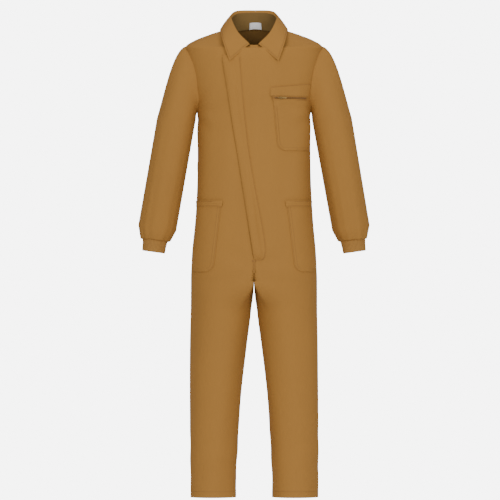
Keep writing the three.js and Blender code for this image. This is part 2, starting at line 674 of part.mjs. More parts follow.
// ---- Legs -------------------------------------------------------------------------

// Distance from a leg's middle to the half outline of the body at the hip.
function hipReach(turn, centre, ring) {
  const [c, s] = [Math.cos(turn), Math.sin(turn)];
  let [low, high] = [0, 2 * HIP_HALF];
  for (let i = 0; i < 30; i += 1) {
    const middle = (low + high) / 2;
    const x = centre + middle * c;
    const y = middle * s;
    const deep = Math.abs(y) / (y < 0 ? ring.front : ring.back);
    const inside = x > 3 && Math.abs(x / ring.half) ** SQUARENESS + deep ** SQUARENESS < 1;
    [low, high] = inside ? [middle, high] : [low, middle];
  }
  return low;
}

// Left leg: turn 0 is its outer side, turning through the back.
function legPoint(turn, h) {
  const [, centre, half, depth] = rowAt(LEG, h);
  const hip = smoothstep(HIP_H - THIGH_BAND, HIP_H, h);
  const ring = bodyRing(HIP_H);
  const reach = hipReach(turn, centre, ring);
  const round = new THREE.Vector2(half * Math.cos(turn), depth * Math.sin(turn));
  const half2 = new THREE.Vector2(reach * Math.cos(turn), reach * Math.sin(turn));
  round.lerp(half2, hip);
  return new THREE.Vector3(centre + round.x, round.y, h);
}

function legSurface(side, from, to, bottom, top) {
  return (u, v) => {
    const turn = lerp(from, to, side > 0 ? u : 1 - u);
    const spot = legPoint(turn, lerp(bottom, top, v));
    if (side < 0) spot.x = -spot.x;
    return spot;
  };
}

for (const [name, side] of [["right", -1], ["left", 1]]) {
  const bandTop = HIP_H - 2 * CLOTH;
  const bandBottom = HIP_H - THIGH_BAND;
  const legTop = bandBottom - SEAM_GAP;
  const seam = 0.003;
  const full = [0, 2 * Math.PI];
  add(`${name}_thigh_band`, tube(legSurface(side, ...full, bandBottom, bandTop), 20, 3), cloth);
  const front = legSurface(side, Math.PI + seam, 2 * Math.PI - seam, HEM_HEIGHT + SEAM_GAP, legTop);
  const back = legSurface(side, seam, Math.PI - seam, HEM_HEIGHT + SEAM_GAP, legTop);
  add(`${name}_leg_front`, sheet(front, 9, 7), cloth);
  add(`${name}_leg_back`, sheet(back, 9, 7), cloth);
  const hem = legSurface(side, ...full, 0, HEM_HEIGHT);
  add(`${name}_leg_hem`, tube(hem, 20, 1, -CLOTH, CLOTH), cloth);
}

export default suit;
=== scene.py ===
# %% [markdown]
# # A beekeeping suit, made piece by piece
# A beekeeping suit is a one-piece coverall of smooth cotton drill, closed so that no bee finds a way in.
# This one has a shirt collar, a slanted zip under a flap, a zipped chest pocket, two patch pockets on the
# hips and knit cuffs. The frame below holds the moving bodies. Each cloth piece is cut and laid over it in
# metres, so nothing has to be fitted afterwards.

# %% Load the frame
import math

import bpy
import numpy as np
from mathutils import Matrix, Vector


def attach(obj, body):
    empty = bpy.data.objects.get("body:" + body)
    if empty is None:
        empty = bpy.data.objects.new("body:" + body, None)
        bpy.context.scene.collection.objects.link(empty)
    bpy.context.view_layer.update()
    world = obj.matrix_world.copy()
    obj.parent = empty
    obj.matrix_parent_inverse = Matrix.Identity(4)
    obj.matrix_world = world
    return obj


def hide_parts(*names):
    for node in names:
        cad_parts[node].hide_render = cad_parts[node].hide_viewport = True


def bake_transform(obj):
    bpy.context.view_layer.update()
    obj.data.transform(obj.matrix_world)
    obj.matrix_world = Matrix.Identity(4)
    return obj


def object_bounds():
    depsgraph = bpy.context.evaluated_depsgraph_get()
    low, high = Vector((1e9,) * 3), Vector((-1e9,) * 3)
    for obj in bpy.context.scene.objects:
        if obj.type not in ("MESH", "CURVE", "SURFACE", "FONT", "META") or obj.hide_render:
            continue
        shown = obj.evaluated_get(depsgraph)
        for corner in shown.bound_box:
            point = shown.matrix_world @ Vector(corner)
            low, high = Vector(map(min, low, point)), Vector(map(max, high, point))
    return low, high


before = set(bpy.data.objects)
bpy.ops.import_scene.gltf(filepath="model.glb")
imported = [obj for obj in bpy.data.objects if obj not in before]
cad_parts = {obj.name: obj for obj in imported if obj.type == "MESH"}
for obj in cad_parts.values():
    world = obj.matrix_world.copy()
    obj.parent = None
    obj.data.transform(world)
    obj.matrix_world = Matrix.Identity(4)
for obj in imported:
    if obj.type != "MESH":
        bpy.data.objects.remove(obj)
cad_low, cad_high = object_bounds()
HEM_Z = cad_low.z
print(f"the suit is {cad_high.x - cad_low.x:.3f} m wide and {cad_high.z - cad_low.z:.3f} m tall")

# %% [markdown]
# ## The studio
# A garment is shown straight from the front with a long lens, so that the shoulders and hems keep their
# true widths. Two wide soft lamps in front light the cloth evenly and let it fall off a little at the
# sides, which is what makes a tube of cloth look round. The floor is a pale disc a little below the hems,
# as if the suit hung on a stand, and the room behind it is white.

# %% Camera
CAMERA_FAR = 16.0
VIEW_WIDTH = 1.56  # what the frame spans at the suit
camera_data = bpy.data.cameras.new("camera")
camera_data.sensor_width = 36
camera_data.lens = camera_data.sensor_width * CAMERA_FAR / VIEW_WIDTH
camera = bpy.data.objects.new("camera", camera_data)
camera.location = (-0.0125, -CAMERA_FAR, HEM_Z + 0.771)
camera.rotation_euler = (math.pi / 2, 0, 0)
bpy.context.scene.collection.objects.link(camera)
bpy.context.scene.camera = camera
print(f"the lens is {camera_data.lens:.0f} mm long")


# %% Lamps
def soft_lamp(name, place, target, size, watts, colour=(1, 1, 1)):
    """A square soft box that faces the target."""
    lamp_data = bpy.data.lights.new(name, "AREA")
    lamp_data.shape = "RECTANGLE"
    lamp_data.size, lamp_data.size_y = size
    lamp_data.energy = watts
    lamp_data.color = colour
    lamp = bpy.data.objects.new(name, lamp_data)
    lamp.location = place
    lamp.rotation_euler = (Vector(target) - Vector(place)).to_track_quat("-Z", "Y").to_euler()
    bpy.context.scene.collection.objects.link(lamp)


chest = (0, 0, HEM_Z + 0.85)
soft_lamp("lamp_left", (-2.0, -4.3, 0.8), chest, (1.8, 2.8), 94, (1, 0.985, 0.95))
soft_lamp("lamp_right", (2.3, -4.1, 0.4), chest, (1.8, 2.8), 96, (1, 0.99, 0.95))
soft_lamp("lamp_above", (0, -0.6, 2.4), (0, 0, 0), (1.6, 1.6), 16)
soft_lamp("lamp_behind", (0.4, 4.2, 0.6), chest, (2.4, 2.8), 60)

# %% Floor and room
bpy.ops.object.select_all(action="DESELECT")
bpy.ops.mesh.primitive_circle_add(vertices=96, radius=1.9, fill_type="NGON", location=(0, 0, HEM_Z - 0.3))
floor = bpy.context.object
floor.name = "floor"
floor_finish = bpy.data.materials.new("pale_floor")
floor_finish.use_nodes = True
floor_shader = floor_finish.node_tree.nodes["Principled BSDF"]
floor_shader.inputs["Base Color"].default_value = (0.86, 0.86, 0.85, 1)
floor_shader.inputs["Roughness"].default_value = 0.8
floor.data.materials.append(floor_finish)

room = bpy.data.worlds.new("white_room")
room.use_nodes = True
bpy.context.scene.world = room
room_nodes = room.node_tree.nodes
room_links = room.node_tree.links
room_nodes.clear()
seen = room_nodes.new("ShaderNodeBackground")
seen.inputs["Color"].default_value = (1, 1, 1, 1)
seen.inputs["Strength"].default_value = 6.5
felt = room_nodes.new("ShaderNodeBackground")
felt.inputs["Color"].default_value = (1, 1, 1, 1)
felt.inputs["Strength"].default_value = 0.42
path = room_nodes.new("ShaderNodeLightPath")
choose = room_nodes.new("ShaderNodeMixShader")
room_out = room_nodes.new("ShaderNodeOutputWorld")
room_links.new(path.outputs["Is Camera Ray"], choose.inputs["Fac"])
room_links.new(felt.outputs["Background"], choose.inputs[1])
room_links.new(seen.outputs["Background"], choose.inputs[2])
room_links.new(choose.outputs["Shader"], room_out.inputs["Surface"])
print("the studio has four soft lamps, a pale floor and a white room")

# %% [markdown]
# ## The body that the cloth is cut for
# A dressmaker cuts from body sizes taken at a few heights. The same is done here: short tables hold half
# the width and the depths at some heights above the hem, and a smooth curve joins the rows. Around the body
# each ring is a superellipse, an oval with slightly squarer shoulders than a true one, because cloth hangs
# between the high points of a body. Every piece asks these functions for its surface, so neighbours meet
# exactly.

# %% Sizes by height
HIP_H = 0.690
WAIST_H = 1.030
NECK_H = 1.460
ARMHOLE_H = 1.308
ARMHOLE_RY = 0.066
ARMHOLE_FRONT = 0.047  # the armhole is cut flatter in front than behind
ARMHOLE_RZ = 0.090
SQUARENESS = 2.3
DRILL = 0.0012  # thickness of the cloth

BODY = [  # height, half width, depth of the back
    (HIP_H, 0.197, 0.128), (0.770, 0.193, 0.132), (0.850, 0.186, 0.124), (0.950, 0.180, 0.108),
    (WAIST_H, 0.177, 0.100), (1.120, 0.176, 0.108), (1.210, 0.177, 0.116), (1.290, 0.1935, 0.112),
    (1.350, 0.205, 0.099), (1.385, 0.210, 0.086), (1.407, 0.2125, 0.080), (1.426, 0.183, 0.075),
    (1.440, 0.148, 0.072), (1.451, 0.116, 0.070), (NECK_H, 0.084, 0.068),
]
UPPER_FRONT = [(1.360, 0.098), (1.390, 0.094), (1.426, 0.086), (1.445, 0.080), (NECK_H, 0.074)]
LEG = [  # height, centre, half width, half depth
    (0.0, 0.128, 0.072, 0.070), (0.055, 0.128, 0.072, 0.070), (0.166, 0.125, 0.075, 0.073),
    (0.317, 0.120, 0.080, 0.082), (0.483, 0.110, 0.089, 0.096), (0.580, 0.103, 0.094, 0.107),
    (HIP_H, 0.099, 0.097, 0.120),
]
SLEEVE = [  # height, centre, half width, half depth, centre's depth
    (0.803, 0.308, 0.042, 0.040, -0.014), (0.812, 0.306, 0.054, 0.052, -0.013),
    (0.839, 0.302, 0.059, 0.057, -0.011), (0.900, 0.293, 0.061, 0.059, -0.008),
    (0.9895, 0.278, 0.063, 0.061, -0.003), (1.080, 0.261, 0.062, 0.062, 0.0),
    (1.176, 0.243, 0.061, 0.062, 0.0),
]
print(f"{len(BODY)} body rows, {len(LEG)} leg rows and {len(SLEEVE)} sleeve rows")


# %% Smooth values between the rows
def row_at(table, height):
    """The table's values at each height, on one smooth curve through its rows."""
    table = np.asarray(table, float)
    rows, values = table[:, 0], table[:, 1:]
    before = np.maximum(np.arange(len(rows)) - 1, 0)
    after = np.minimum(np.arange(len(rows)) + 1, len(rows) - 1)
    slope = (values[after] - values[before]) / (rows[after] - rows[before])[:, None]
    height = np.clip(np.asarray(height, float), rows[0], rows[-1])
    k = np.clip(np.searchsorted(rows, height, side="right") - 1, 0, len(rows) - 2)
    span = (rows[k + 1] - rows[k])[..., None]
    t = (height - rows[k])[..., None] / span
    start = (1 + 2 * t) * (1 - t) ** 2 * values[k] + t * (1 - t) ** 2 * span * slope[k]
    end = t * t * (3 - 2 * t) * values[k + 1] + t * t * (t - 1) * span * slope[k + 1]
    return start + end


def lerp(a, b, t):
    return a + (b - a) * t


def smooth(low, high, value):
    t = np.clip((value - low) / (high - low), 0, 1)
    return t * t * (3 - 2 * t)


def power(value, exponent):
    return np.sign(value) * np.abs(value) ** exponent


print(f"the waist is {2 * row_at(BODY, WAIST_H)[0]:.3f} m wide")

# %% The closure's line and the rings of the body
CLOSURE_TOP = np.array([-0.083, -0.092, 1.360])
CLOSURE_FOOT = np.array([0.014, -0.128, 0.742])


def closure_point(h):
    share = (np.asarray(h, float) - CLOSURE_FOOT[2]) / (CLOSURE_TOP[2] - CLOSURE_FOOT[2])
    return lerp(CLOSURE_FOOT, CLOSURE_TOP, share[..., None])


def closure_x(h):
    """The closure is straight up to the chest, then leans back towards the neck."""
    return lerp(closure_point(h)[..., 0], -0.063, smooth(CLOSURE_TOP[2], NECK_H, h))


def body_ring(h):
    h = np.asarray(h, float)
    size = row_at(BODY, h)
    half, back = size[..., 0], size[..., 1]
    line = closure_point(np.minimum(h, CLOSURE_TOP[2]))
    straight = -line[..., 1] / (1 - np.abs(line[..., 0] / half) ** SQUARENESS) ** (1 / SQUARENESS)
    above = row_at(UPPER_FRONT, np.maximum(h, CLOSURE_TOP[2]))[..., 0]
    front = lerp(straight, above, smooth(CLOSURE_TOP[2] - 0.010, CLOSURE_TOP[2] + 0.025, h))
    return half, front, back


def body_point(angle, h):
    """Angle 0 is the wearer's right side, a quarter turn the front, a half turn the left side."""
    angle, h = np.broadcast_arrays(np.asarray(angle, float), np.asarray(h, float))
    half, front, back = body_ring(h)
    deep = power(np.sin(angle), 2 / SQUARENESS)
    across = -half * power(np.cos(angle), 2 / SQUARENESS)
    near = smooth(NECK_H - 0.070, NECK_H, h) * np.sin(angle) ** 2
    dip = np.where(deep > 0, -0.052 * near, 0.014 * near)
    return np.stack([across, -deep * np.where(deep > 0, front, back), h + dip + HEM_Z], -1)


def front_angle(x, h):
    share = np.clip(np.asarray(x, float) / body_ring(h)[0], -1, 1)
    return np.arccos(-power(share, SQUARENESS / 2))


print(f"the belly stands {body_ring(0.9)[1]:.3f} m forward")

# %% [markdown]
# ## Folds that belong to the whole suit
# Cloth on a body isn't a clean tube: it drapes in long shallow waves, pulls in a fan from the armpits and
# the crotch, and breaks a little at the shins. A cloth solver could make these, but this drill is smooth
# and stiff and hangs almost flat, so a few soft waves a millimetre or two deep say more and give the same
# result every time. One function gives the lift at any point, and pockets, flap and stitches use it too, so
# nothing sinks into its neighbour.


# %% Long folds
def fan(p_x, p_h, centre_x, centre_h, spokes, turn, reach, width):
    """Folds that spread from one point like the ribs of a fan."""
    far = np.hypot(p_x - centre_x, p_h - centre_h)
    spoke = np.arctan2(p_h - centre_h, p_x - centre_x)
    return np.cos(spokes * spoke + turn) * np.exp(-(((far - reach) / width) ** 2))


def folds(p):
    x, y, h = p[..., 0], p[..., 1], p[..., 2] - HEM_Z
    side = np.where(x < 0, -1.0, 1.0)
    around = np.arctan2(x, -y)
    rear = smooth(0.0, 0.05, y)
    torso = smooth(0.74, 0.90, h) * (1 - smooth(1.32, 1.42, h))
    drape = np.sin(6 * around + 2.2 * np.sin(3.1 * h) + 0.8) + 0.6 * np.sin(11 * around - 4 * h)
    drape = torso * 0.0013 * drape
    armpit = fan(np.abs(x), h, 0.196, 1.205, 7, 0.9 + 0.6 * side, 0.060, 0.040)
    crotch = fan(np.abs(x), h, -0.004, 0.712, 6, 0.4 * side, 0.075, 0.045)
    waist = np.exp(-(((h - WAIST_H) / 0.050) ** 2)) * rear * np.cos(34 * around + 2 * np.sin(5 * around))
    legs = 1 - smooth(0.60, 0.70, h)
    round_leg = np.arctan2(np.abs(x) - row_at(LEG, h)[..., 0], -y)
    crease = np.sin(3 * round_leg + 1.1 + 2.0 * np.sin(3.3 * h) + 0.9 * side)
    crease = crease + 0.5 * np.sin(6 * round_leg + 7 * h - 1.3 * side)
    shin = np.sin(2 * math.pi * h / 0.105 + 1.2 * np.cos(round_leg + side))
    shin = shin * np.exp(-(((h - 0.13) / 0.08) ** 2))
    shin = shin * smooth(0.02, 0.06, h)
    knee = np.sin(2 * math.pi * h / 0.085 + 2.4 * round_leg) * np.exp(-(((h - 0.43) / 0.06) ** 2)) * rear
    lift = drape + 0.0013 * armpit + 0.0012 * crotch + 0.0010 * waist
    lift = lift + legs * (0.0011 * crease + 0.0009 * shin + 0.0012 * knee)
    apart = np.where(h < 0.745, smooth(0.0004, 0.030, np.abs(x)), 1.0)
    return lift * apart


def surface_normal(angle, h, step=1e-3):
    along = body_point(angle + step, h) - body_point(angle - step, h)
    up = body_point(angle, h + step) - body_point(angle, np.asarray(h) - step)
    normal = np.cross(along, up)
    return normal / np.linalg.norm(normal, axis=-1, keepdims=True)


def dressed(angle, h, lift):
    """A point that lies lift above the folded cloth of the body, and the way out of the cloth there."""
    spot = body_point(angle, h)
    normal = surface_normal(angle, h)
    return spot + normal * (folds(spot) + lift)[..., None], normal


shin_line = np.array([[0.2, 0, HEM_Z + k / 100] for k in range(30)])
print(f"the folds at the shin reach {1000 * np.ptp(folds(shin_line)):.1f} mm")

# %% [markdown]
# ## What cloth looks like up close
# Drill is a twill: its threads step over each other and leave fine slanting lines. That pattern has to
# follow the cloth and not the room, so it reads the piece's own UV map, which is laid out in metres. Slow
# cloudy noise on Object coordinates gives the small uneven tone of dyed cotton, and a shade mask on
# each piece darkens the cloth beside its edges, painted shade for the shadow in seam grooves and puckers.


# %% Helpers for node trees
def new_finish(name):
    finish = bpy.data.materials.new(name)
    finish.use_nodes = True
    tree = finish.node_tree
    return finish, tree, tree.nodes["Principled BSDF"]


def node(tree, kind, **values):
    """Adds a node and sets its inputs by name, or its own settings where it has no such input."""
    made = tree.nodes.new(kind)
    for name, value in values.items():
        socket = name.replace("_", " ")
        if socket in made.inputs:
            made.inputs[socket].default_value = value
        else:
            setattr(made, name, value)
    return made


def mix(tree, share, first, second):
    """Mixes two colours; each may be a colour or another node's output."""
    made = node(tree, "ShaderNodeMix", data_type="RGBA")
    for socket, value in ((made.inputs["Factor"], share), (made.inputs[6], first), (made.inputs[7], second)):
        if hasattr(value, "is_linked"):
            tree.links.new(value, socket)
        else:
            socket.default_value = value
    return made.outputs[2]


def scaled(tree, value, low, high):
    made = node(tree, "ShaderNodeMapRange")
    made.inputs["To Min"].default_value = low
    made.inputs["To Max"].default_value = high
    tree.links.new(value, made.inputs["Value"])
    return made.outputs["Result"]


def waves(tree, vector, spacing, turn=0.0, wobble=0.0):
    """Straight threads a given spacing apart, turned about the cloth's own normal."""
    place = node(tree, "ShaderNodeMapping")
    place.inputs["Rotation"].default_value = (0, 0, turn)
    tree.links.new(vector, place.inputs["Vector"])
    made = node(tree, "ShaderNodeTexWave", Scale=0.314 / spacing, Distortion=wobble, Detail=1.0)
    tree.links.new(place.outputs["Vector"], made.inputs["Vector"])
    return made.outputs["Fac"]


def noise(tree, vector, scale, detail=2.0):
    made = node(tree, "ShaderNodeTexNoise", Scale=scale, Detail=detail)
    tree.links.new(vector, made.inputs["Vector"])
    return made.outputs["Fac"]


def bump(tree, height, distance, strength, under=None):
    made = node(tree, "ShaderNodeBump", Strength=strength, Distance=distance)
    tree.links.new(height, made.inputs["Height"])
    if under is not None:
        tree.links.new(under, made.inputs["Normal"])
    return made.outputs["Normal"]


def shade(colour, factor):
    return tuple(min(1.0, c * factor) for c in colour) + (1.0,)


print("node helpers are ready")


# %% Woven finishes
def woven(name, colour, thread, slant, relief, roughness, sheen, crumple=0.35):
    """Cotton with slanting twill lines, cloudy dye, painted shade beside its seams and fine crumples."""
    finish, tree, shader = new_finish(name)
    where = node(tree, "ShaderNodeTexCoord")
    flat, solid = where.outputs["UV"], where.outputs["Object"]
    twill = waves(tree, flat, thread, slant, 0.6)
    weft = waves(tree, flat, thread * 0.62, slant + math.pi / 2, 0.4)
    cloud = noise(tree, solid, 5.0, 3.0)
    fibre = noise(tree, flat, 700.0, 2.0)
    edge = node(tree, "ShaderNodeAttribute", attribute_name="seam_shade")
    tone = mix(tree, scaled(tree, cloud, 0.0, 1.0), shade(colour, 0.93), shade(colour, 1.06))
    tone = mix(tree, scaled(tree, twill, 0.0, 0.16), tone, shade(colour, 0.72))
    tone = mix(tree, scaled(tree, fibre, 0.0, 0.18), tone, shade(colour, 1.22))
    # painted shade: the seam mask darkens the cloth beside seams and edges, standing in for shadow in their
    # grooves and puckers
    tone = mix(tree, scaled(tree, edge.outputs["Fac"], 0.0, 0.30), tone, shade(colour, 0.62))
    tree.links.new(tone, shader.inputs["Base Color"])
    tree.links.new(scaled(tree, cloud, roughness - 0.05, roughness + 0.05), shader.inputs["Roughness"])
    shader.inputs["Sheen Weight"].default_value = sheen
    shader.inputs["Sheen Roughness"].default_value = 0.42
    shader.inputs["Sheen Tint"].default_value = shade(colour, 1.9)
    shader.inputs["Specular IOR Level"].default_value = 0.28
    creases = bump(tree, noise(tree, solid, 26.0, 3.0), 0.0022, crumple)
    lines = bump(tree, twill, relief, 0.55, creases)
    lines = bump(tree, weft, relief * 0.6, 0.45, lines)
    tree.links.new(lines, shader.inputs["Normal"])
    return finish


CARAMEL = (0.365, 0.172, 0.036)
drill = woven("caramel_drill", CARAMEL, 0.0011, 0.96, 0.00016, 0.84, 0.16)
# painted shade: the collar stand is a darker copy of the drill, standing in for the shade inside the neck
shaded_stand_drill = woven("stand_drill_painted_shade", (0.21, 0.125, 0.038), 0.0008, 0.78, 0.00010, 0.88, 0.12)
# painted shade: the inner faces of drill pieces use a darker copy of the drill, standing in for the shade
# inside the suit
shaded_reverse = woven("drill_reverse_painted_shade", (0.19, 0.098, 0.024), 0.0011, 0.96, 0.00012, 0.90, 0.10)
zip_cloth = woven("woven_zip_tape", (0.29, 0.132, 0.028), 0.0009, 0.40, 0.00014, 0.80, 0.08, 0.05)
satin = woven("satin_label", (0.97, 0.97, 0.98), 0.0005, 0.0, 0.00005, 0.45, 0.10, 0.05)
print("five woven finishes")


# %% Knit, thread, zip and metal finishes
def ribbed(name, colour):
    """Rib knit: columns of small loops, with painted shade in the grooves between the ribs."""
    finish, tree, shader = new_finish(name)
    where = node(tree, "ShaderNodeTexCoord")
    flat = where.outputs["UV"]
    loops = waves(tree, flat, 0.0016, math.pi / 2, 0.5)
    legs_left = waves(tree, flat, 0.0015, 0.5, 0.3)
    legs_right = waves(tree, flat, 0.0015, -0.5, 0.3)
    groove = node(tree, "ShaderNodeAttribute", attribute_name="seam_shade")
    fluff = scaled(tree, noise(tree, flat, 260.0), 0.0, 1.0)
    tone = mix(tree, fluff, shade(colour, 0.90), shade(colour, 1.10))
    # painted shade: the mask darkens the grooves between the ribs, where shadow falls
    tone = mix(tree, scaled(tree, groove.outputs["Fac"], 0.0, 0.55), tone, shade(colour, 0.45))
    tone = mix(tree, scaled(tree, loops, 0.0, 0.22), tone, shade(colour, 0.62))
    tree.links.new(tone, shader.inputs["Base Color"])
    shader.inputs["Roughness"].default_value = 0.92
    shader.inputs["Sheen Weight"].default_value = 0.12
    shader.inputs["Sheen Roughness"].default_value = 0.5
    shader.inputs["Sheen Tint"].default_value = shade(colour, 1.8)
    relief = bump(tree, loops, 0.0003, 0.6)
    relief = bump(tree, legs_left, 0.0002, 0.4, relief)
    relief = bump(tree, legs_right, 0.0002, 0.4, relief)
    tree.links.new(relief, shader.inputs["Normal"])
    return finish


def twisted(name, colour, roughness, metallic=0.0, scale=900.0, relief=0.00008):
    """Thread, moulded coil or metal: one tone with fine marks, on Object coordinates."""
    finish, tree, shader = new_finish(name)
    where = node(tree, "ShaderNodeTexCoord")
    marks = noise(tree, where.outputs["Object"], scale, 3.0)
    tone = mix(tree, scaled(tree, marks, 0.0, 1.0), shade(colour, 0.84), shade(colour, 1.14))
    tree.links.new(tone, shader.inputs["Base Color"])
    shader.inputs["Metallic"].default_value = metallic
    tree.links.new(scaled(tree, marks, roughness - 0.07, roughness + 0.09), shader.inputs["Roughness"])
    tree.links.new(bump(tree, marks, relief, 0.4), shader.inputs["Normal"])
    return finish


rib_knit = ribbed("caramel_rib_knit", (0.40, 0.192, 0.040))
thread = twisted("sewing_thread", (0.215, 0.092, 0.020), 0.66)
coil = twisted("zip_coil", (0.23, 0.105, 0.022), 0.5)
brass = twisted("antique_brass", (0.25, 0.155, 0.058), 0.48, 1.0, 1400.0, 0.00003)
print("knit, thread, coil and brass are ready")

# %% [markdown]
# ## A way to lay cloth
# A sheet of cloth is a grid of points, row by row. Turning it into a mesh by hand is the only part that
# needs mesh code. Blender's Solidify modifier then gives it its thickness, inwards, so that the outside
# stays where it was drawn, and it closes the rims as a cut edge does. The same helper writes the UV map in
# metres, stores the mask of painted shade beside the seams, and stores on the piece how large the flat cloth
# was.


# %% Sheets from a grid of points
def only(piece):
    bpy.ops.object.select_all(action="DESELECT")
    piece.select_set(True)
    bpy.context.view_layer.objects.active = piece


def new_piece(name, verts, faces, finish):
    mesh = bpy.data.meshes.new(name)
    mesh.from_pydata(np.asarray(verts).tolist(), [], [list(face) for face in faces])
    mesh.materials.append(finish)
    piece = bpy.data.objects.new(name, mesh)
    bpy.context.scene.collection.objects.link(piece)
    return piece


def travel(points, axis):
    """How far each point is from the first one along the grid, in metres."""
    steps = np.linalg.norm(np.diff(points, axis=axis), axis=-1)
    start = np.zeros_like(np.take(steps, [0], axis=axis))
    return np.concatenate([start, np.cumsum(steps, axis=axis)], axis=axis)


def apply_all(piece):
    only(piece)
    for modifier in list(piece.modifiers):
        bpy.ops.object.modifier_apply(modifier=modifier.name)


def lay_cloth(name, grid, inside, finish, thickness=DRILL, closed=False, seam_shade=None, cut=True):
    """Makes a sheet from a grid of points. inside is a point, or one for each row, behind the cloth."""
    rows, columns = grid.shape[:2]
    wide = np.concatenate([grid, grid[:, :1]], axis=1) if closed else grid
    across, along = travel(wide, 1), travel(wide, 0)
    i, j = np.meshgrid(np.arange(rows - 1), np.arange(wide.shape[1] - 1), indexing="ij")
    turn = [(i, j), (i, j + 1), (i + 1, j + 1), (i + 1, j)]
    corners = np.stack([wide[a, b] for a, b in turn], -2)
    normal = np.cross(corners[..., 2, :] - corners[..., 0, :], corners[..., 3, :] - corners[..., 1, :])
    inside = np.asarray(inside, float)
    behind = inside[:-1, None, :] if inside.ndim == 2 else inside
    if np.sum(normal * (corners.mean(-2) - behind)) < 0:
        turn = turn[::-1]
    faces = np.stack([a * columns + b % columns for a, b in turn], -1).reshape(-1, 4)
    piece = new_piece(name, grid.reshape(-1, 3), faces, finish)
    flat = np.stack([across, along], -1)
    uv = np.stack([flat[a, b] for a, b in turn], -2).reshape(-1, 2)
    piece.data.uv_layers.new(name="cloth").data.foreach_set("uv", uv.ravel())
    # painted shade: unless a mask is given, the cloth is darkened within a few millimetres of both long edges
    if seam_shade is None:
        edge = np.minimum(across, across[:, -1:] - across)[:, :columns]
        seam_shade = np.zeros((rows, columns)) if closed else np.exp(-edge / 0.0025)
    marks = piece.data.attributes.new("seam_shade", "FLOAT", "POINT")
    marks.data.foreach_set("value", np.broadcast_to(seam_shade, (rows, columns)).astype(np.float32).ravel())
    wall = piece.modifiers.new("thickness", "SOLIDIFY")
    wall.thickness = thickness
    wall.offset = -1
    # the inner faces get the darker reverse finish, painted shade for the inside of the suit
    if finish is drill:
        piece.data.materials.append(shaded_reverse)
        wall.material_offset = 1
    apply_all(piece)
    bpy.ops.object.shade_smooth_by_angle(angle=math.radians(50))
    if cut:
        area = float(np.linalg.norm(normal, axis=-1).sum() / 2)
        size = float(across[:, -1].max()), float(along[-1].max())
        piece["flat"] = [*size, area]
        area = min(max(area, 0.305 * size[0] * size[1]), size[0] * size[1])
        print(f"{name}: {len(piece.data.polygons)} faces, cut {size[0]:.3f} by {size[1]:.3f} m")
    return piece


print(f"cloth is {DRILL * 1000:.1f} mm thick")

# %% [markdown]
# ## The four long panels
# A coverall is cut in long pieces: each front runs from the neck to the hem in one piece, and each leg back
# from the waist to the hem. The side seam, the armhole, the closure, the crotch curve and the inside leg
# are the edges of that piece. Row by row, the outline of the body or of the leg is drawn from the side seam
# to the middle, then divided evenly. Rows are closest where an edge turns quickly, at the armhole and the
# crotch.

# %% Outlines from the side seam to the middle
CRACK = 0.00002  # half the space between the two legs at the crotch
CROTCH_H = 0.674
CROTCH_TOP = 0.720
DENSE = 420


def armhole_depth(h, face):
    share = np.clip((h - ARMHOLE_H) / ARMHOLE_RZ, -1, 1)
    return (ARMHOLE_FRONT if face < 0 else ARMHOLE_RY) * math.sqrt(max(0.0, 1 - share**2))


def side_angle(h, face):
    """Angle at which a panel starts: the side seam, or the edge of the armhole."""
    depth = body_ring(h)[1 if face < 0 else 2]
    return math.asin(min(1.0, (armhole_depth(h, face) / float(depth)) ** (SQUARENESS / 2)))


def body_outline(h, face, middle_x):
    """Right-hand outline, from the side seam to middle_x. face is -1 for the front, 1 for the back."""
    start = side_angle(h, face)
    end = float(front_angle(middle_x, h))
    angle = np.linspace(start, end, DENSE)
    if face > 0:
        angle = -angle
    return body_point(angle, h)


def crack_depth(h, face):
    """How deep the crotch seam lies at a height, from the outside of the cloth to nothing."""
    depth = float(body_ring(max(h, HIP_H))[1 if face < 0 else 2])
    share = np.clip((CROTCH_TOP - h) / (CROTCH_TOP - CROTCH_H), 0, 1)
    return depth * math.sqrt(max(0.0, 1 - share**2))


def hip_outline(h, face):
    """The body's outline, carried on along the inside of the leg."""
    outer = body_outline(h, face, -CRACK)
    wall = np.linspace(0, 1, DENSE // 3)[1:, None]
    return np.vstack([outer, outer[-1] + wall * (np.array([-CRACK, 0, outer[-1, 2]]) - outer[-1])])


def leg_outline(h, face):
    """The leg's outline: an oval below, which takes the shape of half the hips above."""
    centre, half, depth = row_at(LEG, h)
    turn = np.linspace(0, math.pi, DENSE)
    oval = np.stack([-centre - half * np.cos(turn), face * depth * np.sin(turn)], -1)
    share = float(smooth(0.580, CROTCH_H, h))
    if share > 0:
        hip = hip_outline(HIP_H, face)
        away = hip[:, :2] - [-centre, 0]
        order = np.arctan2(np.abs(away[:, 1]), -away[:, 0])
        reach = np.interp(turn, order, np.linalg.norm(away, axis=1))
        ring = np.stack([-centre - reach * np.cos(turn), face * reach * np.sin(turn)], -1)
        oval = lerp(oval, ring, share)
    return np.column_stack([oval, np.full(DENSE, h + HEM_Z)])


def panel_outline(h, face, middle_x):
    if h >= CROTCH_TOP:
        return body_outline(h, face, middle_x)
    line = hip_outline(h, face) if h >= HIP_H else leg_outline(h, face)
    if h <= CROTCH_H:
        return line
    depth = np.abs(line[::-1, 1])
    cut = int(np.argmax(depth >= crack_depth(h, face)))
    return line[: len(line) - cut]


def spread(line, places):
    """Points of a line at the given distances from its start."""
    far = travel(line, 0)
    return np.stack([np.interp(places, far, line[:, k]) for k in range(3)], -1)


def column_places(length, count):
    """Even columns, with a few close ones beside each edge for the groove of the seam."""
    near = np.array([0, 0.0014, 0.0034, 0.0070])
    middle = np.linspace(0.0070, length - 0.0070, count)[1:-1]
    return np.concatenate([near, middle, length - near[::-1]])


print(f"the crotch is {CROTCH_H:.3f} m above the hem")


# %% Rows and grids of a panel
def spaced(low, high, step):
    return list(np.linspace(low, high, max(2, round((high - low) / step) + 1)))


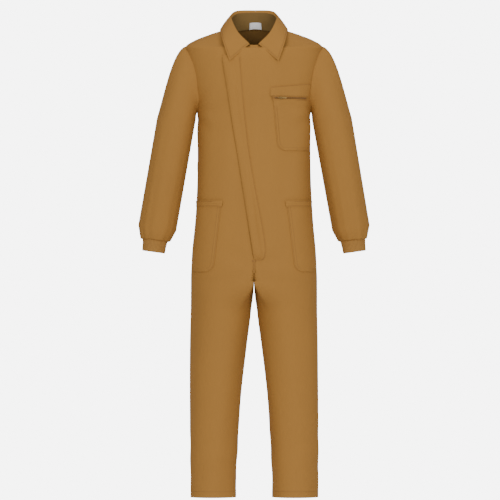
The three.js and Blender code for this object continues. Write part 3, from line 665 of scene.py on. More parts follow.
leg_rows = spaced(0.0, 0.580, 0.0070) + spaced(0.580, CROTCH_H, 0.0065)
crotch_rows = [CROTCH_TOP - (CROTCH_TOP - CROTCH_H) * math.cos(a) for a in np.linspace(0, math.pi / 2, 11)]
armpit = ARMHOLE_H - ARMHOLE_RZ
arm_rows = [ARMHOLE_H - ARMHOLE_RZ * math.cos(a) for a in np.linspace(0, math.pi, 29)]
shoulder_rows = spaced(ARMHOLE_H + ARMHOLE_RZ, NECK_H, 0.0024)
front_rows = leg_rows + crotch_rows + spaced(CROTCH_TOP, 0.762, 0.0040) + spaced(0.762, armpit, 0.0070)
front_rows = sorted(set(np.round(front_rows + arm_rows + shoulder_rows, 5)))
seat_rows = leg_rows + crotch_rows + spaced(CROTCH_TOP, WAIST_H - 0.0002, 0.0070)
seat_rows = sorted(set(np.round(seat_rows, 5)))
back_rows = sorted(set(np.round(spaced(WAIST_H + 0.0002, armpit, 0.0070) + arm_rows + shoulder_rows, 5)))


def grid_normals(grid):
    normal = np.cross(np.gradient(grid, axis=1), np.gradient(grid, axis=0))
    return normal / np.maximum(np.linalg.norm(normal, axis=-1, keepdims=True), 1e-12)


def raise_cloth(grid, inside, lift):
    """Moves a grid out of the body by lift, whichever way its rows run."""
    normal = grid_normals(grid)
    behind = inside[:, None, :] if np.ndim(inside) == 2 else inside
    normal = normal * (1 if np.sum(normal * (grid - behind)) > 0 else -1)
    return grid + normal * np.asarray(lift)[..., None], normal


def spine(rows, x_of):
    return np.array([[x_of(h), 0, h + HEM_Z] for h in rows])


def middle_line(h):
    """The body's middle is at no distance sideways, whatever the height."""
    return 0.0 * h


def panel_spine(rows, side):
    return spine(rows, lambda h: side * float(lerp(row_at(LEG, h)[0], 0.02, smooth(0.60, 0.80, h))))


def panel_grid(rows, face, middle_x, side, count):
    """Grid of one panel with its folds and the grooves of its seams, and its mean line behind it."""
    lines = []
    for h in rows:
        line = panel_outline(h, face, middle_x(h))
        lines.append(spread(line, column_places(travel(line, 0)[-1], count)))
    grid = np.array(lines)
    grid[..., 0] *= -side
    inside = panel_spine(rows, side)
    across = travel(grid, 1)
    middle_far = across[:, -1:] - across + np.where(np.array(rows) < 0.76, 1.0, 0.0)[:, None]
    edge = np.minimum(across, middle_far)
    groove = -0.0007 * np.exp(-((edge / 0.0026) ** 2))
    return raise_cloth(grid, inside, folds(grid) + groove)[0], inside


print(f"a front has {len(front_rows)} rows, a leg back {len(seat_rows)} and the upper back {len(back_rows)}")

# %% Cut and lay the fronts and the leg backs
ZIP_GAP = 0.0034


def zip_gap(h):
    """The fronts stand apart over the zip and meet above its top."""
    return CRACK + (ZIP_GAP - CRACK) * (1 - smooth(1.352, 1.368, h))


def right_middle(h):
    return float(lerp(-CRACK, closure_x(h) - zip_gap(h), smooth(0.746, 0.756, h)))


def left_middle(h):
    return float(lerp(-CRACK, -closure_x(h) - zip_gap(h), smooth(0.746, 0.756, h)))


def follow_leg(piece):
    """Bakes the piece's placement into its mesh; it is not tied to the leg or to the body."""
    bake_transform(piece)


for name, side, middle in (("right", -1, right_middle), ("left", 1, left_middle)):
    grid, inside = panel_grid(front_rows, -1, middle, side, 50)
    front = lay_cloth(f"{name}_front_cloth", grid, inside, drill)
    follow_leg(front)
    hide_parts(f"{name}_front_panel", f"{name}_leg_front", f"{name}_thigh_band")
    grid, inside = panel_grid(seat_rows, 1, lambda h: -CRACK, side, 44)
    back = lay_cloth(f"{name}_leg_back_cloth", grid, inside, drill)
    follow_leg(back)
    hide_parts(f"{name}_seat_panel", f"{name}_leg_back")

# %% [markdown]
# ## The upper back
# The back above the waist is one piece from side seam to side seam, with both armholes cut out of its
# edges. It is drawn as two mirrored halves that share the middle column, so there is no seam between them.

# %% Lay the upper back
half_lines = []
for h in back_rows:
    line = body_outline(h, 1, 0.0)
    length = travel(line, 0)[-1]
    half_lines.append(spread(line, column_places(length, 40)[:-3]))
    half_lines[-1][-1, 0] = 0.0
right_half = np.array(half_lines)
left_half = right_half[:, ::-1][:, 1:] * [-1, 1, 1]
grid = np.concatenate([right_half, left_half], axis=1)
inside = spine(back_rows, middle_line)
across = travel(grid, 1)
edge = np.minimum(across, across[:, -1:] - across)
grid, _ = raise_cloth(grid, inside, folds(grid) - 0.0009 * np.exp(-((edge / 0.0026) ** 2)))
upper_back = lay_cloth("upper_back_cloth", grid, inside, drill)
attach(upper_back, "suit_body")
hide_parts("upper_back_panel")

# %% [markdown]
# ## Sleeves
# A sleeve is a tube set into the armhole. Its head turns from the oval of the armhole to the ring of the
# arm in one smooth bend, which is drawn for every thread line as a curve that leaves the shoulder outwards
# and arrives along the arm. Below it the tube follows the arm, bags a little over the wrist, and is
# gathered into the cuff. Small creases lie where the elbow bends.


# %% Sleeve rings
def sleeve_ring(h, turn):
    x, half, depth, y = row_at(SLEEVE, h)
    lean = -(row_at(SLEEVE, h + 0.008)[0] - row_at(SLEEVE, h - 0.008)[0]) / 0.016
    out = np.array([-1, 0, lean]) / math.hypot(1, lean)
    ring = np.array([-x, y, h + HEM_Z]) + half * np.cos(turn)[:, None] * out
    ring[:, 1] -= depth * np.sin(turn)
    return ring


def armhole_ring(turn):
    y = -np.where(np.sin(turn) > 0, ARMHOLE_FRONT, ARMHOLE_RY) * 1.02 * np.sin(turn)
    h = ARMHOLE_H + ARMHOLE_RZ * np.where(np.cos(turn) > 0, 1.09, 1.21) * np.cos(turn)
    half, front, back = body_ring(h)
    depth = np.where(y < 0, front, back)
    x = -half * (1 - np.abs(y / depth) ** SQUARENESS) ** (1 / SQUARENESS)
    return np.stack([x - 0.0008, y, h + HEM_Z], -1)


def sleeve_grid(turn):
    top = SLEEVE[-1][0]
    first, last = armhole_ring(turn), sleeve_ring(top, turn)
    far = np.linalg.norm(last - first, axis=1, keepdims=True)
    leave = first + 0.17 * far * np.array([-1, 0, -0.25]) / math.hypot(1, 0.25)
    arrive = last + 0.35 * far * np.array([0.285, 0, 0.958])
    rings = [first + [0.005, 0, 0]]
    for t in np.linspace(0, 1, 20)[:-1]:
        outward = first * (1 - t) ** 3 + 3 * leave * t * (1 - t) ** 2
        rings.append(outward + 3 * arrive * t**2 * (1 - t) + last * t**3)
    heights = spaced(top, 0.840, 0.0060) + spaced(0.840, 0.806, 0.0034)[1:]
    rings += [sleeve_ring(h, turn) for h in heights]
    end = sleeve_ring(0.803, turn)
    middle = end.mean(0)
    for k, size in enumerate((1.06, 0.98, 0.93)):
        rings.append(middle + (end - middle) * size + np.array([0.0003, 0, -0.001]) * k)
    return np.array(rings)


turn = np.linspace(0, 2 * math.pi, 97)[:-1]
right_sleeve = sleeve_grid(turn)
print(f"a sleeve has {len(right_sleeve)} rings of {len(turn)} points")


# %% Sleeve creases
def sleeve_folds(grid, side):
    h = grid[..., 2] - HEM_Z
    around = np.broadcast_to(turn, h.shape) + 0.5 * side
    head = smooth(0, 0.05, travel(grid, 0))
    gather = np.cos(13 * around + 1.6 * np.sin(3 * around)) * np.exp(-np.maximum(h - 0.806, 0) / 0.022)
    gather = gather * smooth(0.796, 0.812, h)
    elbow = np.sin(2 * math.pi * h / 0.075 + 1.7 * np.cos(around - 2.0)) * np.exp(-(((h - 1.0) / 0.075) ** 2))
    elbow = elbow * (0.35 + 0.65 * np.cos((around - 2.3) / 2) ** 2)
    wrist = np.sin(2 * math.pi * h / 0.042 + 2.4 * np.sin(around)) * np.exp(-(((h - 0.865) / 0.035) ** 2))
    long_wave = np.sin(2 * around + 5 * h + side) + 0.6 * np.sin(5 * around - 6 * h)
    crown = np.cos(11 * around) * np.exp(-((travel(grid, 0) / 0.02) ** 2))
    return head * (0.0018 * gather + 0.0013 * elbow + 0.0014 * wrist + 0.0011 * long_wave) + 0.0003 * crown


for name, side in (("right", -1), ("left", 1)):
    grid = right_sleeve * [-side, 1, 1]
    inside = grid.mean(1)
    grid, _ = raise_cloth(grid, inside, sleeve_folds(grid, side))
    # painted shade at the armhole seam and where the sleeve gathers into the cuff
    seam_shade = np.exp(-travel(grid, 0) / 0.003) + np.exp(-np.abs(travel(grid, 0) - travel(grid, 0)[-1]) / 0.006)
    sleeve = lay_cloth(f"{name}_sleeve_cloth", grid, inside, drill, closed=True, seam_shade=seam_shade)
    start = (side * 0.177, 0, HEM_Z + 1.204)
    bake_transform(sleeve)
    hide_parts(f"{name}_sleeve_head", f"{name}_sleeve")

# %% [markdown]
# ## Knit cuffs
# The cuffs are tubes of rib knit, sewn on double. The ribs are real ridges, because they catch the light at
# the edge of the cuff, where a picture of ribs would look flat. They run along the arm, so they are a small
# wave around the ring, and painted shade darkens the grooves between them.

# %% Knit the cuffs
RIBS = 54
cuff_turn = np.linspace(0, 2 * math.pi, RIBS * 6 + 1)[:-1]
cuff_axis = np.array([-0.14, 0, -1.0]) / math.hypot(0.14, 1)
cuff_across = np.array([-cuff_axis[2], 0, cuff_axis[0]]) * -1
cuff_places = np.array([-7, -3, 1, 2, 5, 9, 14, 19, 24, 29, 33, 35.5, 37, 38, 38.6]) / 1000
cuff_round = np.array([0, 0, 0, 0, 0, 0, 0, 0, 0, 0, 0, -0.1, -0.5, -1.1, -2.2]) / 1000
ridge = np.abs(np.cos(RIBS * cuff_turn / 2)) ** 0.7
for name, side in (("right", -1), ("left", 1)):
    rings = []
    for far, inset in zip(cuff_places, cuff_round):
        centre = np.array([-0.308, -0.014, 0.803 + HEM_Z]) + cuff_axis * (0.0004 + far)
        pinch = 0.0005 * math.exp(-((far - 0.019) / 0.010) ** 2)
        size = lerp(0.0388, 0.0352, np.clip(far / 0.038, 0, 1)) + inset - pinch + 0.0007 * ridge
        ring = centre + (size * np.cos(cuff_turn))[:, None] * cuff_across
        ring[:, 1] -= (size - 0.002) * np.sin(cuff_turn)
        rings.append(ring)
    grid = np.array(rings) * [-side, 1, 1]
    # painted shade mask: strongest in the grooves between the ridges
    groove = np.broadcast_to((1 - ridge) ** 1.5, grid.shape[:2])
    cuff = lay_cloth(f"{name}_cuff_knit", grid, grid.mean(1), rib_knit, 0.0022, True, groove)
    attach(cuff, f"{name}_arm")
    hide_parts(f"{name}_knit_cuff")

# %% [markdown]
# ## The shirt collar
# A shirt collar has two parts. The stand goes up from the neck seam, and the leaf rolls over its top and
# lies down again on the shoulders, with two points in front. Both are drawn between curves that go round
# the neck, from one front end to the other. The leaf starts inside the roll, so the fold is a soft round
# one and not a crease.


# %% Curves round the neck
def neck_curve(points, between=9):
    """A smooth curve through points given for the right half, nearest the front first, in millimetres."""
    right = np.array([(-x, y, 1000 * NECK_H + rise) for x, y, rise in points], float) / 1000
    whole = np.vstack([right, right[:-1][::-1] * [-1, 1, 1]])
    whole = np.vstack([2 * whole[0] - whole[1], whole, 2 * whole[-1] - whole[-2]])
    made = []
    for a, b, c, d in zip(whole[:-3], whole[1:-2], whole[2:-1], whole[3:]):
        knots = np.cumsum([0] + [np.linalg.norm(q - p) ** 0.5 for p, q in ((a, b), (b, c), (c, d))])
        for t in np.linspace(knots[1], knots[2], between + 1)[:-1]:
            ab = lerp(a, b, (t - knots[0]) / (knots[1] - knots[0]))
            bc = lerp(b, c, (t - knots[1]) / (knots[2] - knots[1]))
            cd = lerp(c, d, (t - knots[2]) / (knots[3] - knots[2]))
            abc = lerp(ab, bc, (t - knots[0]) / (knots[2] - knots[0]))
            bcd = lerp(bc, cd, (t - knots[1]) / (knots[3] - knots[1]))
            made.append(lerp(abc, bcd, (t - knots[1]) / (knots[2] - knots[1])))
    return np.array(made + [whole[-2]]) + [0, 0, HEM_Z]


neck_seam = neck_curve([(14, -75, -56), (50, -60, -34), (76, -30, -5), (81, 4, 3), (63, 44, 8), (0, 64, 15)])
stand_top = neck_curve([
    (14, -80, -53), (46, -64, -19), (66, -29, 20), (69, 6, 37), (52, 38, 50), (0, 56, 54),
])
fold_line = neck_curve([
    (14, -84, -49), (49, -68, -14), (70, -31, 25), (73, 7, 44), (56, 42, 59), (0, 61, 62),
])
leaf_edge = neck_curve([
    (76, -102, -103), (94, -91, -50), (104, -40, -12), (105, 10, 0), (82, 64, 7), (0, 90, 7),
])
print(f"the neck seam is {travel(neck_seam, 0)[-1]:.3f} m long")

# %% Stand and leaf
NECK_AXIS = np.array([0, 0, NECK_H + HEM_Z - 0.02])
share = np.linspace(-0.35, 1, 12)[:, None, None]
stand_grid = lerp(neck_seam[None], stand_top[None], share)
stand = lay_cloth("collar_stand_cloth", stand_grid, NECK_AXIS, shaded_stand_drill, 0.0014, seam_shade=0.0)
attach(stand, "suit_body")
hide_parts("collar_stand")


def leaf_rows():
    """From inside the roll, over the fold and down to the leaf's edge."""
    rows = []
    crest = (stand_top + fold_line) / 2 + [0, 0, 0.005]
    for t in np.linspace(0, 1, 8)[:-1]:
        rows.append(stand_top * (1 - t) ** 2 + 2 * crest * t * (1 - t) + fold_line * t**2)
    away = np.column_stack([fold_line[:, :2], np.zeros(len(fold_line))])
    away = away / np.linalg.norm(away, axis=1, keepdims=True)
    for t in np.linspace(0, 1, 26) ** 0.92:
        rows.append(lerp(fold_line, leaf_edge, t) + away * 0.003 * math.sin(math.pi * t) ** 0.8)
    return np.array(rows)


leaf_grid = leaf_rows()
leaf_far = travel(leaf_grid, 0)
leaf_side = travel(leaf_grid, 1)
edge = np.minimum(leaf_far[-1] - leaf_far, np.minimum(leaf_side, leaf_side[:, -1:] - leaf_side))
# painted shade along the leaf's edges and along its row of stitches 5.5 mm in
leaf_edge_shade = 0.55 * np.exp(-(((edge - 0.0055) / 0.0016) ** 2)) + 0.5 * np.exp(-edge / 0.0015)
leaf = lay_cloth("collar_leaf_cloth", leaf_grid, NECK_AXIS, drill, 0.0020, seam_shade=leaf_edge_shade)
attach(leaf, "suit_body")
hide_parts("collar_leaf")

# %% [markdown]
# ## The neck label
# A small satin label is sewn inside the back of the stand. It is left blank. It follows the stand a
# millimetre inside it.

# %% Lay the label
middle = len(neck_seam) // 2
span = np.arange(middle - 4, middle + 5)
fine = np.linspace(0, len(span) - 1, 25)


def along_curve(curve):
    return np.stack([np.interp(fine, np.arange(len(span)), curve[span][:, k]) for k in range(3)], -1)


label_x = 0.0185 / np.abs(along_curve(neck_seam)[0, 0])
low, high = along_curve(neck_seam), along_curve(stand_top)
label_rows = [lerp(low, high, t) for t in np.linspace(-0.32, 0.20, 13)]
label_grid = np.array(label_rows) * [label_x, 1, 1]
label_grid = label_grid + [0.0045, -0.0026, 0.0004]
label = lay_cloth("neck_label_satin", label_grid, [0, 0.5, label_grid[..., 2].mean()], satin, 0.0005)
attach(label, "suit_body")
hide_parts("neck_label")

# %% [markdown]
# ## The flap over the zip
# The zip runs from the crotch to the wearer's right shoulder under a flap. The flap is free along its right
# edge and sewn down on its left, where a row of stitches in the shape of a J ends at the bar tack. It has
# to arch a little over the zip's slider, so its height is a smooth bump over the zip, which dies away
# towards the stitches and at both ends.

# %% Lay the flap
STITCH_LINE = [  # height, sideways place of the row of stitches
    (0.743, 0.0260), (0.756, 0.0325), (0.775, 0.0345), (0.842, 0.0255), (0.950, 0.0050),
    (1.076, -0.0165), (1.220, -0.0330), (1.372, -0.0455),
]
flap_h = np.array(spaced(0.743, 1.376, 0.0055))
flap_x0 = closure_x(flap_h) - 0.014
flap_x1 = row_at(STITCH_LINE, flap_h)[:, 0] + 0.0022
flap_u = np.concatenate([[0, 0.02, 0.05], np.linspace(0.1, 0.9, 15), [0.95, 0.98, 1]])
flap_x = lerp(flap_x0[:, None], flap_x1[:, None], flap_u[None])
flap_rows = np.broadcast_to(flap_h[:, None], flap_x.shape)
far = flap_x - flap_x0[:, None]
fade = smooth(0.741, 0.757, flap_rows) * (1 - smooth(1.356, 1.376, flap_rows))
arch = smooth(-0.010, 0.009, far) * (1 - smooth(0.019, 0.034, far))
ripple = 0.0004 * np.sin(flap_rows * 2 * math.pi / 0.19 + 0.7) * np.exp(-far / 0.010)
arch = arch * lerp(0.0062, 0.0044, smooth(0.84, 0.94, flap_rows))  # highest where the pull comes to rest
flap_lift = 0.0016 + fade * (arch + ripple)
flap_grid, _ = dressed(front_angle(flap_x, flap_rows), flap_rows, flap_lift)
# painted shade along the flap's free edge and along its J row of stitches
flap_edge_shade = np.exp(-far / 0.002) + 0.45 * np.exp(-(((flap_x1[:, None] - 0.0022 - flap_x) / 0.0016) ** 2))
flap_axis = spine(flap_h, middle_line)
flap = lay_cloth("closure_flap_cloth", flap_grid, flap_axis, drill, seam_shade=np.minimum(flap_edge_shade, 1))
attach(flap, "suit_body")
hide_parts("closure_flap")

# %% [markdown]
# ## Patch pockets
# A patch pocket is a flat piece of the same drill, turned in at its edges and sewn down round three sides.
# Its inner bottom corner is round, and its outer edge is caught in the side seam. The sewn edge lies low
# and the middle stands a little off the body, because a pocket is never quite flat, so the lift grows with
# the distance from the edge.

# %% Outlines of the pockets
HIP_POCKET = (0.703, 0.924)
HIP_BAND = 0.019
CHEST_POCKET = (1.079, 1.243)
CHEST_TOP = 1.283
ZIP_HALF = 0.0065
POCKET_CORNER = 0.026
SQUARE_CORNER = 0.001
SEWN_LIFT = 0.0014  # how high a pocket lies at its sewn edge


def pocket_outer(h):
    """Angle short of the side where a pocket ends, in front of the armhole where it passes one."""
    past = smooth(armpit - 0.075, armpit + 0.035, h)
    return np.arcsin((lerp(0.028, ARMHOLE_FRONT + 0.005, past) / body_ring(h)[1]) ** (SQUARENESS / 2))


def chest_inner(h):
    return lerp(0.073, 0.058, (h - CHEST_POCKET[0]) / (CHEST_POCKET[1] - CHEST_POCKET[0]))


def hip_inner(h):
    return lerp(0.126, 0.100, (h - HIP_POCKET[0]) / (HIP_POCKET[1] - HIP_POCKET[0]))


def pocket_edge(inner, h, bottom, corner):
    rise = np.clip((h - bottom) / corner, 0, 1)
    return inner(h) + corner * (1 - np.sqrt(1 - (1 - rise) ** 2))


def pocket_places(inner, bottom, top, corner, columns, step):
    """Angles and heights of a pocket's grid, as on the wearer's left."""
    low = [bottom]
    if corner > SQUARE_CORNER:
        low = [bottom + corner * (1 - math.cos(a)) for a in np.linspace(0, math.pi / 2, 12)]
    rows = np.array(sorted(set(np.round(low + spaced(bottom + corner, top, step), 5))))
    edge = front_angle(pocket_edge(inner, rows, bottom, corner), rows)
    outer = math.pi - pocket_outer(rows)
    u = np.concatenate([[0, 0.012, 0.03, 0.055], np.linspace(0.085, 0.94, columns), [0.97, 1]])
    angle = lerp(edge[:, None], outer[:, None], u[None])
    return angle, np.broadcast_to(rows[:, None], angle.shape)


def edge_distance(grid):
    """How far each point is from the nearest sewn edge; the top edge is open."""
    across, along = travel(grid, 1), travel(grid, 0)
    return np.minimum(np.minimum(across, along), across[:, -1:] - across)


print(f"a hip pocket is {HIP_POCKET[1] - HIP_POCKET[0]:.3f} m deep")


# %% Lay the hip pockets and their bands
def sewn_lift(distance, low, high, reach):
    return low + (high - low) * (1 - np.exp(-distance / reach))


def stitch_row_shade(distance):
    """Painted shade along the two rows of stitches round a pocket and at its sewn edge."""
    rows = np.exp(-(((distance - 0.0030) / 0.0012) ** 2)) + np.exp(-(((distance - 0.0095) / 0.0012) ** 2))
    return 0.5 * rows + 0.6 * np.exp(-distance / 0.0010)


def mirrored(grid, side):
    return grid * [side, 1, 1]


band_foot = HIP_POCKET[1] - HIP_BAND
angle, rows = pocket_places(hip_inner, HIP_POCKET[0], band_foot + 0.004, POCKET_CORNER, 26, 0.007)
flat_grid = body_point(angle, rows)
distance = edge_distance(flat_grid)
patch_lift = sewn_lift(distance, SEWN_LIFT, 0.0036, 0.010)
band_angle, band_rows = pocket_places(
    lambda h: hip_inner(h) - 0.004, band_foot, HIP_POCKET[1], SQUARE_CORNER, 26, 0.0024)
band_far = band_rows - band_foot
band_side = travel(body_point(band_angle, band_rows), 1)
band_lift = 0.0046 + 0.0016 * smooth(0.006, 0.019, band_far) * smooth(0.0, 0.03, band_side)
band_lift = band_lift - 0.0016 * np.exp(-band_side / 0.003)
band_lift = band_lift - 0.0028 * np.exp(-(band_side[:, -1:] - band_side) / 0.005)
for name, side in (("right", -1), ("left", 1)):
    for part, a, h, lift, seam_shade, node_name in (
        ("pocket_cloth", angle, rows, patch_lift, stitch_row_shade(distance), "hip_pocket"),
        ("pocket_band_cloth", band_angle, band_rows, band_lift, stitch_row_shade(band_far), "hip_pocket_band"),
    ):
        spot = mirrored(body_point(a, h), side)
        normal = mirrored(surface_normal(a, h), side)
        grid = spot + normal * (folds(spot) + lift)[..., None]
        inside = spine(h[:, 0], middle_line)
        piece = lay_cloth(f"{name}_hip_{part}", grid, inside, drill, seam_shade=seam_shade)
        follow_leg(piece)
        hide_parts(f"{name}_{node_name}")

# %% [markdown]
# ## The zipped chest pocket
# The chest pocket on the wearer's left closes with a short zip along its top. The slider needs a straight
# track, and the chest is round, so the zip is a straight bar of cloth that stands a few millimetres off the
# chest at its ends. The band above and the patch below rise to meet it, as they do on the real pocket,
# where the zip is stiffer than the cloth.

# %% Line of the pocket zip
POCKET_ZIP = (0.060, 0.134, 0.160)  # start, end of the straight part, end
ZIP_STAND = 0.005  # how far the zip's two ends stand off the chest


def on_chest(x, lift):
    angle = front_angle(x, CHEST_POCKET[1])
    return body_point(angle, CHEST_POCKET[1]) + surface_normal(angle, CHEST_POCKET[1]) * lift


def pocket_zip_line(x):
    """Points of the zip at sideways places: straight first, then round the chest."""
    x = np.atleast_1d(np.asarray(x, float))
    left, right = on_chest(POCKET_ZIP[0], ZIP_STAND), on_chest(POCKET_ZIP[1], ZIP_STAND)
    share = np.clip((x - POCKET_ZIP[0]) / (POCKET_ZIP[1] - POCKET_ZIP[0]), 0, 1)
    bar = lerp(left, right, share[:, None])
    bend = np.array([on_chest(k, ZIP_STAND) for k in x])
    return np.where((x > POCKET_ZIP[1])[:, None], bend, bar)


def zip_rise(x):
    """How far the zip stands off the chest, for cloth at any sideways place."""
    known = np.linspace(POCKET_ZIP[0], POCKET_ZIP[1], 25)
    gap = []
    for spot in pocket_zip_line(known):
        angle = front_angle(spot[0], CHEST_POCKET[1])
        there = body_point(angle, CHEST_POCKET[1])
        gap.append(float(np.dot(spot - there, surface_normal(angle, CHEST_POCKET[1]))))
    return np.interp(x, known, gap)


along_zip = (pocket_zip_line(POCKET_ZIP[1]) - pocket_zip_line(POCKET_ZIP[0]))[0]
along_zip = along_zip / np.linalg.norm(along_zip)
zip_out = np.cross(along_zip, [0, 0, 1])
zip_out = zip_out / np.linalg.norm(zip_out)
print(f"the zip stands {1000 * zip_rise(0.097):.1f} mm off the chest at its middle")


# %% Lay the chest pocket and its band
def chest_piece(name, angle, rows, lift, seam_shade, node_name):
    spot = body_point(angle, rows)
    reach = np.exp(-(((rows - CHEST_POCKET[1]) / 0.016) ** 2))
    rise = zip_rise(spot[..., 0]) - 0.0002
    lift = lerp(lift, np.maximum(rise, lift), reach)
    grid = spot + surface_normal(angle, rows) * (folds(spot) * (1 - reach) + lift)[..., None]
    piece = lay_cloth(name, grid, spine(rows[:, 0], middle_line), drill, seam_shade=seam_shade)
    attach(piece, "suit_body")
    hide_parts(node_name)


patch_top = CHEST_POCKET[1] - ZIP_HALF + 0.0022
angle, rows = pocket_places(chest_inner, CHEST_POCKET[0], patch_top, POCKET_CORNER, 26, 0.0062)
distance = edge_distance(body_point(angle, rows))
top_edge = patch_top - rows
# painted shade along the stitch rows and along a line just below the patch's top edge
seam_shade = stitch_row_shade(distance) + 0.4 * np.exp(-(((top_edge - 0.003) / 0.001) ** 2))
lift = sewn_lift(distance, SEWN_LIFT, 0.0034, 0.010)
chest_piece("chest_pocket_cloth", angle, rows, lift, seam_shade, "chest_pocket_patch")

band_low = CHEST_POCKET[1] + ZIP_HALF - 0.0022


def band_slant(x, share):
    """The band's top edge climbs towards the side seam."""
    return share * lerp(-0.006, 0.005, np.clip((x - 0.050) / 0.110, 0, 1))


angle, rows = pocket_places(lambda h: 0.050 + 0 * h, band_low, CHEST_TOP, SQUARE_CORNER, 28, 0.0030)
rows = rows + band_slant(body_point(angle, rows)[..., 0], (rows - band_low) / (CHEST_TOP - band_low))
across = travel(body_point(angle, rows), 1)
along = travel(body_point(angle, rows), 0)
distance = np.minimum(across, np.minimum(along, along[-1] - along))
# painted shade along the band's row of stitches and at its edges
seam_shade = 0.5 * np.exp(-(((distance - 0.0025) / 0.0012) ** 2)) + 0.6 * np.exp(-distance / 0.0010)
lift = sewn_lift(distance, SEWN_LIFT, 0.0022, 0.006)
chest_piece("chest_pocket_band_cloth", angle, rows, lift, seam_shade, "chest_pocket_band")

# %% Zip tape of the chest pocket
tape_x = np.linspace(POCKET_ZIP[0] - 0.004, POCKET_ZIP[2], 40)
before_zip = np.outer(np.minimum(tape_x - POCKET_ZIP[0], 0), along_zip)
tape_line = pocket_zip_line(np.maximum(tape_x, POCKET_ZIP[0])) + before_zip
tape_rows = np.linspace(-ZIP_HALF, ZIP_HALF, 8)
tape_grid = np.array([tape_line - zip_out * 0.0006 + [0, 0, z] for z in tape_rows])
# painted shade down the middle of the zip tape, under the coil
tape_slot_shade = np.broadcast_to(0.3 * (1 - np.abs(tape_rows[:, None]) / ZIP_HALF), tape_grid.shape[:2])
tape_inside = [0, 0.3, tape_grid[..., 2].mean()]
pocket_tape = lay_cloth(
    "pocket_zip_tape_cloth", tape_grid, tape_inside, zip_cloth, 0.0009, seam_shade=tape_slot_shade)
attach(pocket_tape, "suit_body")
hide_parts("pocket_zip_tape")

# %% [markdown]
# ## The elastic waist at the back
# A casing of drill is sewn across the back waist with elastic inside it, which draws the cloth into even
# small gathers. The gathers are a wave along the casing, deepest between its two outer rows of stitches.

# %% Lay the casing
CASING_HALF = 0.020
casing_angle = np.linspace(math.pi + 0.2, 2 * math.pi - 0.2, 300)
casing_h = np.linspace(WAIST_H - CASING_HALF, WAIST_H + CASING_HALF, 19)
angle, rows = np.meshgrid(casing_angle, casing_h)
deep = np.maximum(np.cos((rows - WAIST_H) / CASING_HALF * math.pi / 2), 0) ** 0.7
puff = 0.0011 * deep * np.cos(62 * angle + 1.4 * np.sin(7 * angle) + 10 * (rows - WAIST_H))
channel = 0.0007 * np.exp(-(((rows - WAIST_H) / 0.0015) ** 2))
casing_grid, _ = dressed(angle, rows, 0.0016 + 0.0016 * deep + puff - channel)
# painted shade along the casing's two edges and its sunk middle row of stitches
casing_shade = np.exp(-(CASING_HALF - np.abs(rows - WAIST_H)) / 0.0015)
casing_shade = casing_shade + 0.4 * np.exp(-(((rows - WAIST_H) / 0.0015) ** 2))
casing_inside = spine(casing_h, middle_line)
casing = lay_cloth("waist_casing_cloth", casing_grid, casing_inside, drill, seam_shade=casing_shade)
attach(casing, "suit_body")
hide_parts("waist_elastic_casing")

# %% [markdown]
# ## Hems
# The hem of each leg is turned up inside and sewn. From outside only the row of stitches shows, and from
# below the second layer does. That layer is a ring inside the leg, drawn from the same outlines.

# %% Turn up the hems
for name, side in (("right", -1), ("left", 1)):
    rings = []
    for h in (0.0003, 0.0010, 0.0030, 0.0080, 0.0140, 0.0200, 0.0230, 0.0236):
        front, back = leg_outline(h, -1), leg_outline(h, 1)
        ring = np.vstack([front[:-1], back[::-1][:-1]])
        rings.append(spread(np.vstack([ring, ring[:1]]), np.linspace(0, travel(ring, 0)[-1], 97)[:-1]))
    grid = np.array(rings)
    grid[..., 0] *= -side
    inside = grid.mean(1)
    top_edge = grid[..., 2:3].max() - grid[..., 2] < 0.001
    grid, _ = raise_cloth(grid, inside, folds(grid) - DRILL - 0.0001 - 0.0006 * top_edge)
    hem = lay_cloth(f"{name}_hem_cloth", grid, inside, drill, closed=True)
    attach(hem, f"{name}_leg")
    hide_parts(f"{name}_leg_hem")

# %% [markdown]
# ## Seam of the fly
# Below the flap a short felled seam runs to the crotch. It is a narrow raised strip, thicker in its middle.

# %% Lay the fly seam
seam_h = np.array(spaced(0.700, 0.741, 0.0030))
seam_u = np.linspace(-1, 1, 9)
rows, u = np.meshgrid(seam_h, seam_u, indexing="ij")
fly_grid, _ = dressed(front_angle(0.0030 * u, rows), rows, 0.0011 + 0.0008 * (1 - np.abs(u) ** 3))
fly = lay_cloth("fly_seam_cloth", fly_grid, spine(seam_h, middle_line), drill, 0.0009, cut=False)
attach(fly, "suit_body")
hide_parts("centre_front_seam")

# %% [markdown]
# ## Stitches
# A lockstitch shows on the surface as a row of short thread ends that dip into the cloth at each hole. One
# stitch is modelled as by hand, from a short six-sided rod whose two ends are drawn out, narrowed and
# pushed down. It is then copied along the seams below at its real length, about three millimetres.


# %% One stitch
def as_arrays(piece):
    """The points and faces of a small piece, which is then taken away."""
    verts = np.array([v.co for v in piece.data.vertices])
    faces = [list(face.vertices) for face in piece.data.polygons]
    bpy.data.objects.remove(piece)
    return verts, faces


def pick_faces(piece, test):
    """Selects the faces whose centre passes the test, with edit mode left on."""
    bpy.ops.object.mode_set(mode="EDIT")
    bpy.ops.mesh.select_mode(type="FACE")
    bpy.ops.mesh.select_all(action="DESELECT")
    bpy.ops.object.mode_set(mode="OBJECT")
    for face in piece.data.polygons:
        face.select = bool(test(face.center, face.normal))
    bpy.ops.object.mode_set(mode="EDIT")


